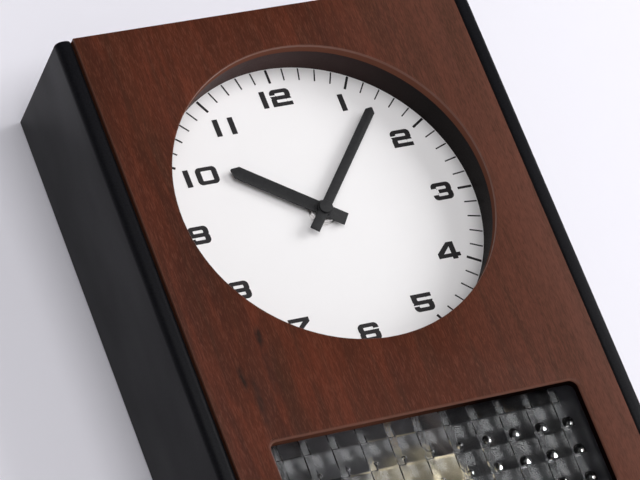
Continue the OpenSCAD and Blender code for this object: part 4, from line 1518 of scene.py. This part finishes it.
@dataclass
class Studio:
    """The wall, the floor, the lights and the camera."""

    eye: Point = (-0.794655, -1.565888, -0.514207)
    turn: Point = (114.5377, 19.9726, -18.0668)
    lens: float = 224.0776
    wall_y: float = 0.0372
    wall_reach: float = 4000.0
    floor_z: float = -1.35
    # The patch of wall right behind the clock, across and upright in mm
    behind: tuple[Pair, Pair] = ((-107.0, 107.0), (2.0, 338.0))
    aim: Point = (0.0, 0.0, 0.2)
    # The side that each lamp stands at, its distance and size in metres, and its power in watts
    lamps: dict[str, tuple[Point, float, float, float]] = field(
        default_factory=lambda: {
            "window_light": ((0.80, -0.62, 0.06), 1.7, 0.95, 18.0),
            "front_light": ((-0.05, -1.0, -0.02), 1.7, 1.2, 18.0),
        }
    )

    def camera(self) -> None:
        """Sets the camera below and to the left of the clock, rolled, with a long lens."""
        data = bpy.data.cameras.new("camera")
        data.lens = self.lens
        data.sensor_width = 36
        data.clip_end = 50
        eye = bpy.data.objects.new("camera", data)
        eye.location = self.eye
        eye.rotation_euler = [math.radians(a) for a in self.turn]
        bpy.context.scene.collection.objects.link(eye)
        bpy.context.scene.camera = eye

    def paint(self, name: str, colour: str, lift: float = 0.0) -> bpy.types.Material:
        """A matt pale paint that is clear from behind, and may look paler to the camera than it is.

        Args:
            name: The material's name.
            colour: Its sRGB hex value.
            lift: How much light is added to what the camera sees.

        Returns:
            The material.
        """
        made = bpy.data.materials.new(name)
        made.use_nodes = True
        graph = Graph(made.node_tree)
        graph.give("Base Color", linear(colour))
        graph.give("Roughness", 0.9)
        graph.give("Specular IOR Level", 0.1)
        if lift:
            seen = graph.node("LightPath").outputs["Is Camera Ray"]
            graph.give("Emission Color", linear(colour))
            graph.give("Emission Strength", graph.maths("MULTIPLY", seen, lift))
        behind = graph.node("NewGeometry").outputs["Backfacing"]
        clear = graph.node("BsdfTransparent").outputs[0]
        mix = graph.node("MixShader", {0: behind, 1: graph.shader.outputs[0], 2: clear})
        graph.feed(graph.tree.nodes["Material Output"], "Surface", mix.outputs[0])
        return made

    def upright(self, name: str, colour: str, x: Pair, z: Pair) -> bpy.types.Object:
        """Sets up a plane of wall that no diffuse and no shadow ray meets.

        Args:
            name: The plane's name.
            colour: The sRGB hex value of its paint.
            x: Its left and right side in mm.
            z: Its lower and upper side in mm.

        Returns:
            The plane.
        """
        deselect_all()
        place = Vector(((x[0] + x[1]) / 2 * MM, self.wall_y, (z[0] + z[1]) / 2 * MM))
        bpy.ops.mesh.primitive_plane_add(size=1, location=place, rotation=(math.radians(90), 0, 0))
        bpy.context.object.scale = ((x[1] - x[0]) * MM, (z[1] - z[0]) * MM, 1)
        piece = fixed(name)
        coat(piece, self.paint(name + "_paint", colour))
        piece.visible_diffuse = piece.visible_shadow = False
        return piece

    def surfaces(self) -> None:
        """Hangs the wall behind the clock and lays the floor far below."""
        (x0, x1), (z0, z1) = self.behind
        reach = (-self.wall_reach, self.wall_reach)
        wall = self.upright("wall", "#efedf5", reach, reach)
        # Painted shadow: the patch right behind the clock is painted darker than the wall, for the clock's shadow
        # on it
        patch = self.upright("wall_behind_clock", "#8f8e94", *self.behind)
        # The wall has a hole right behind the clock, and the patch in it is hidden from reflections,
        # so that the metal on the back shines in the room's light
        patch.visible_glossy = False

        def in_hole(f: bmesh.types.BMFace) -> bool:
            spot = f.calc_center_median() / MM
            return x0 < spot.x < x1 and z0 < spot.z < z1

        slice_upright(wall, *self.behind, False)
        with editing(wall):
            pick(wall, "faces", in_hole)
            bpy.ops.mesh.delete(type="FACE")
        deselect_all()
        bpy.ops.mesh.primitive_plane_add(size=12, location=(0, 0, self.floor_z))
        floor = added("floor")
        coat(floor, self.paint("pale_floor_paint", "#ececec", 0.45))

    def lights(self) -> None:
        """Two large soft lights, from the right and from the front, in a dim room paler behind."""
        aim = Vector(self.aim)
        for name, (side, distance, size, power) in self.lamps.items():
            data = bpy.data.lights.new(name, "AREA")
            data.shape = "SQUARE"
            data.size = size
            data.energy = power
            lamp = bpy.data.objects.new(name, data)
            lamp.location = aim + Vector(side).normalized() * distance
            lamp.rotation_euler = (aim - lamp.location).to_track_quat("-Z", "Y").to_euler()
            bpy.context.scene.collection.objects.link(lamp)
        world = bpy.data.worlds.new("room")
        bpy.context.scene.world = world
        world.use_nodes = True
        graph = Graph(world.node_tree)
        graph.tree.nodes.clear()
        direction = graph.node("TexCoord").outputs["Generated"]
        way = graph.node("SeparateXYZ", {"Vector": direction}).outputs["Y"]
        level = graph.spread(way, 0.05, 0.8, -0.25, 0.5)
        # The room behind the wall is brightest straight behind the clock, so that its back shows
        back = graph.spread(way, 0.0, 1.2, 0.75, 1.0)
        strength = graph.maths("ADD", level, back)
        room = graph.node("Background", {"Color": linear("#f6f6fa"), "Strength": strength})
        seen = graph.node("Background", {"Color": linear("#f5f4fa"), "Strength": 1.0})
        ray = graph.node("LightPath").outputs["Is Camera Ray"]
        mix = graph.node("MixShader", {0: ray, 1: room.outputs[0], 2: seen.outputs[0]})
        graph.node("OutputWorld", {"Surface": mix.outputs[0]})

    def build(self) -> None:
        """Builds the studio."""
        self.camera()
        self.surfaces()
        self.lights()
        bpy.context.scene.view_settings.view_transform = "Standard"
        LOG.info("studio: camera at %s", self.eye)


def screw_sets(frame: dict[str, Any]) -> tuple[ScrewSet, ...]:
    """Lists the groups of equal screws.


    Returns:
        The groups, in the order that they are built.
    """
    turns = [math.radians(a) for a in (45, 135, 225, 315)]
    diagonal = [(DIAL_SCREW_R * math.cos(a), DIAL_Z + DIAL_SCREW_R * math.sin(a)) for a in turns]
    back = ((-94, 24), (94, 24), (-94, 170), (94, 170), (-88, 313), (88, 313))
    clips = ((-90.5, 43), (90.5, 43), (-90.5, 98), (90.5, 98))
    cover = ((-25.5, 257), (25.5, 257), (-25.5, 150), (25.5, 150))
    hanger = ((-17, 313), (17, 313))
    return (
        ScrewSet(frame, "back_screws", back, 35.0, 2.6, 1.3, 1.5, 11),
        ScrewSet(frame, "dial_screws", diagonal, -12.5, 2.0, 1.1, 0.9, 8),
        ScrewSet(frame, "clip_screws", clips, -25.7, 2.0, 1.1, 0.9, 8.7),
        ScrewSet(frame, "cover_screws", cover, 7.5, 2.0, 1.1, 0.9, 9),
        ScrewSet(frame, "hanger_screws", hanger, 36.5, 2.1, 1.2, 0.9, 11.5, Head.COUNTERSUNK),
    )


def main() -> None:
    """Builds the studio and every sub-assembly."""
    logging.basicConfig(level=logging.INFO, format="%(name)s: %(message)s")
    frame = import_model()
    Studio().build()
    for kind in (CaseBoards, FrontPanel, DialGroup, HandSet, PatternedPane, Movement, Pendulum):
        kind(frame).build()
    for group in screw_sets(frame):
        group.build()


if __name__ == "__main__":
    main()
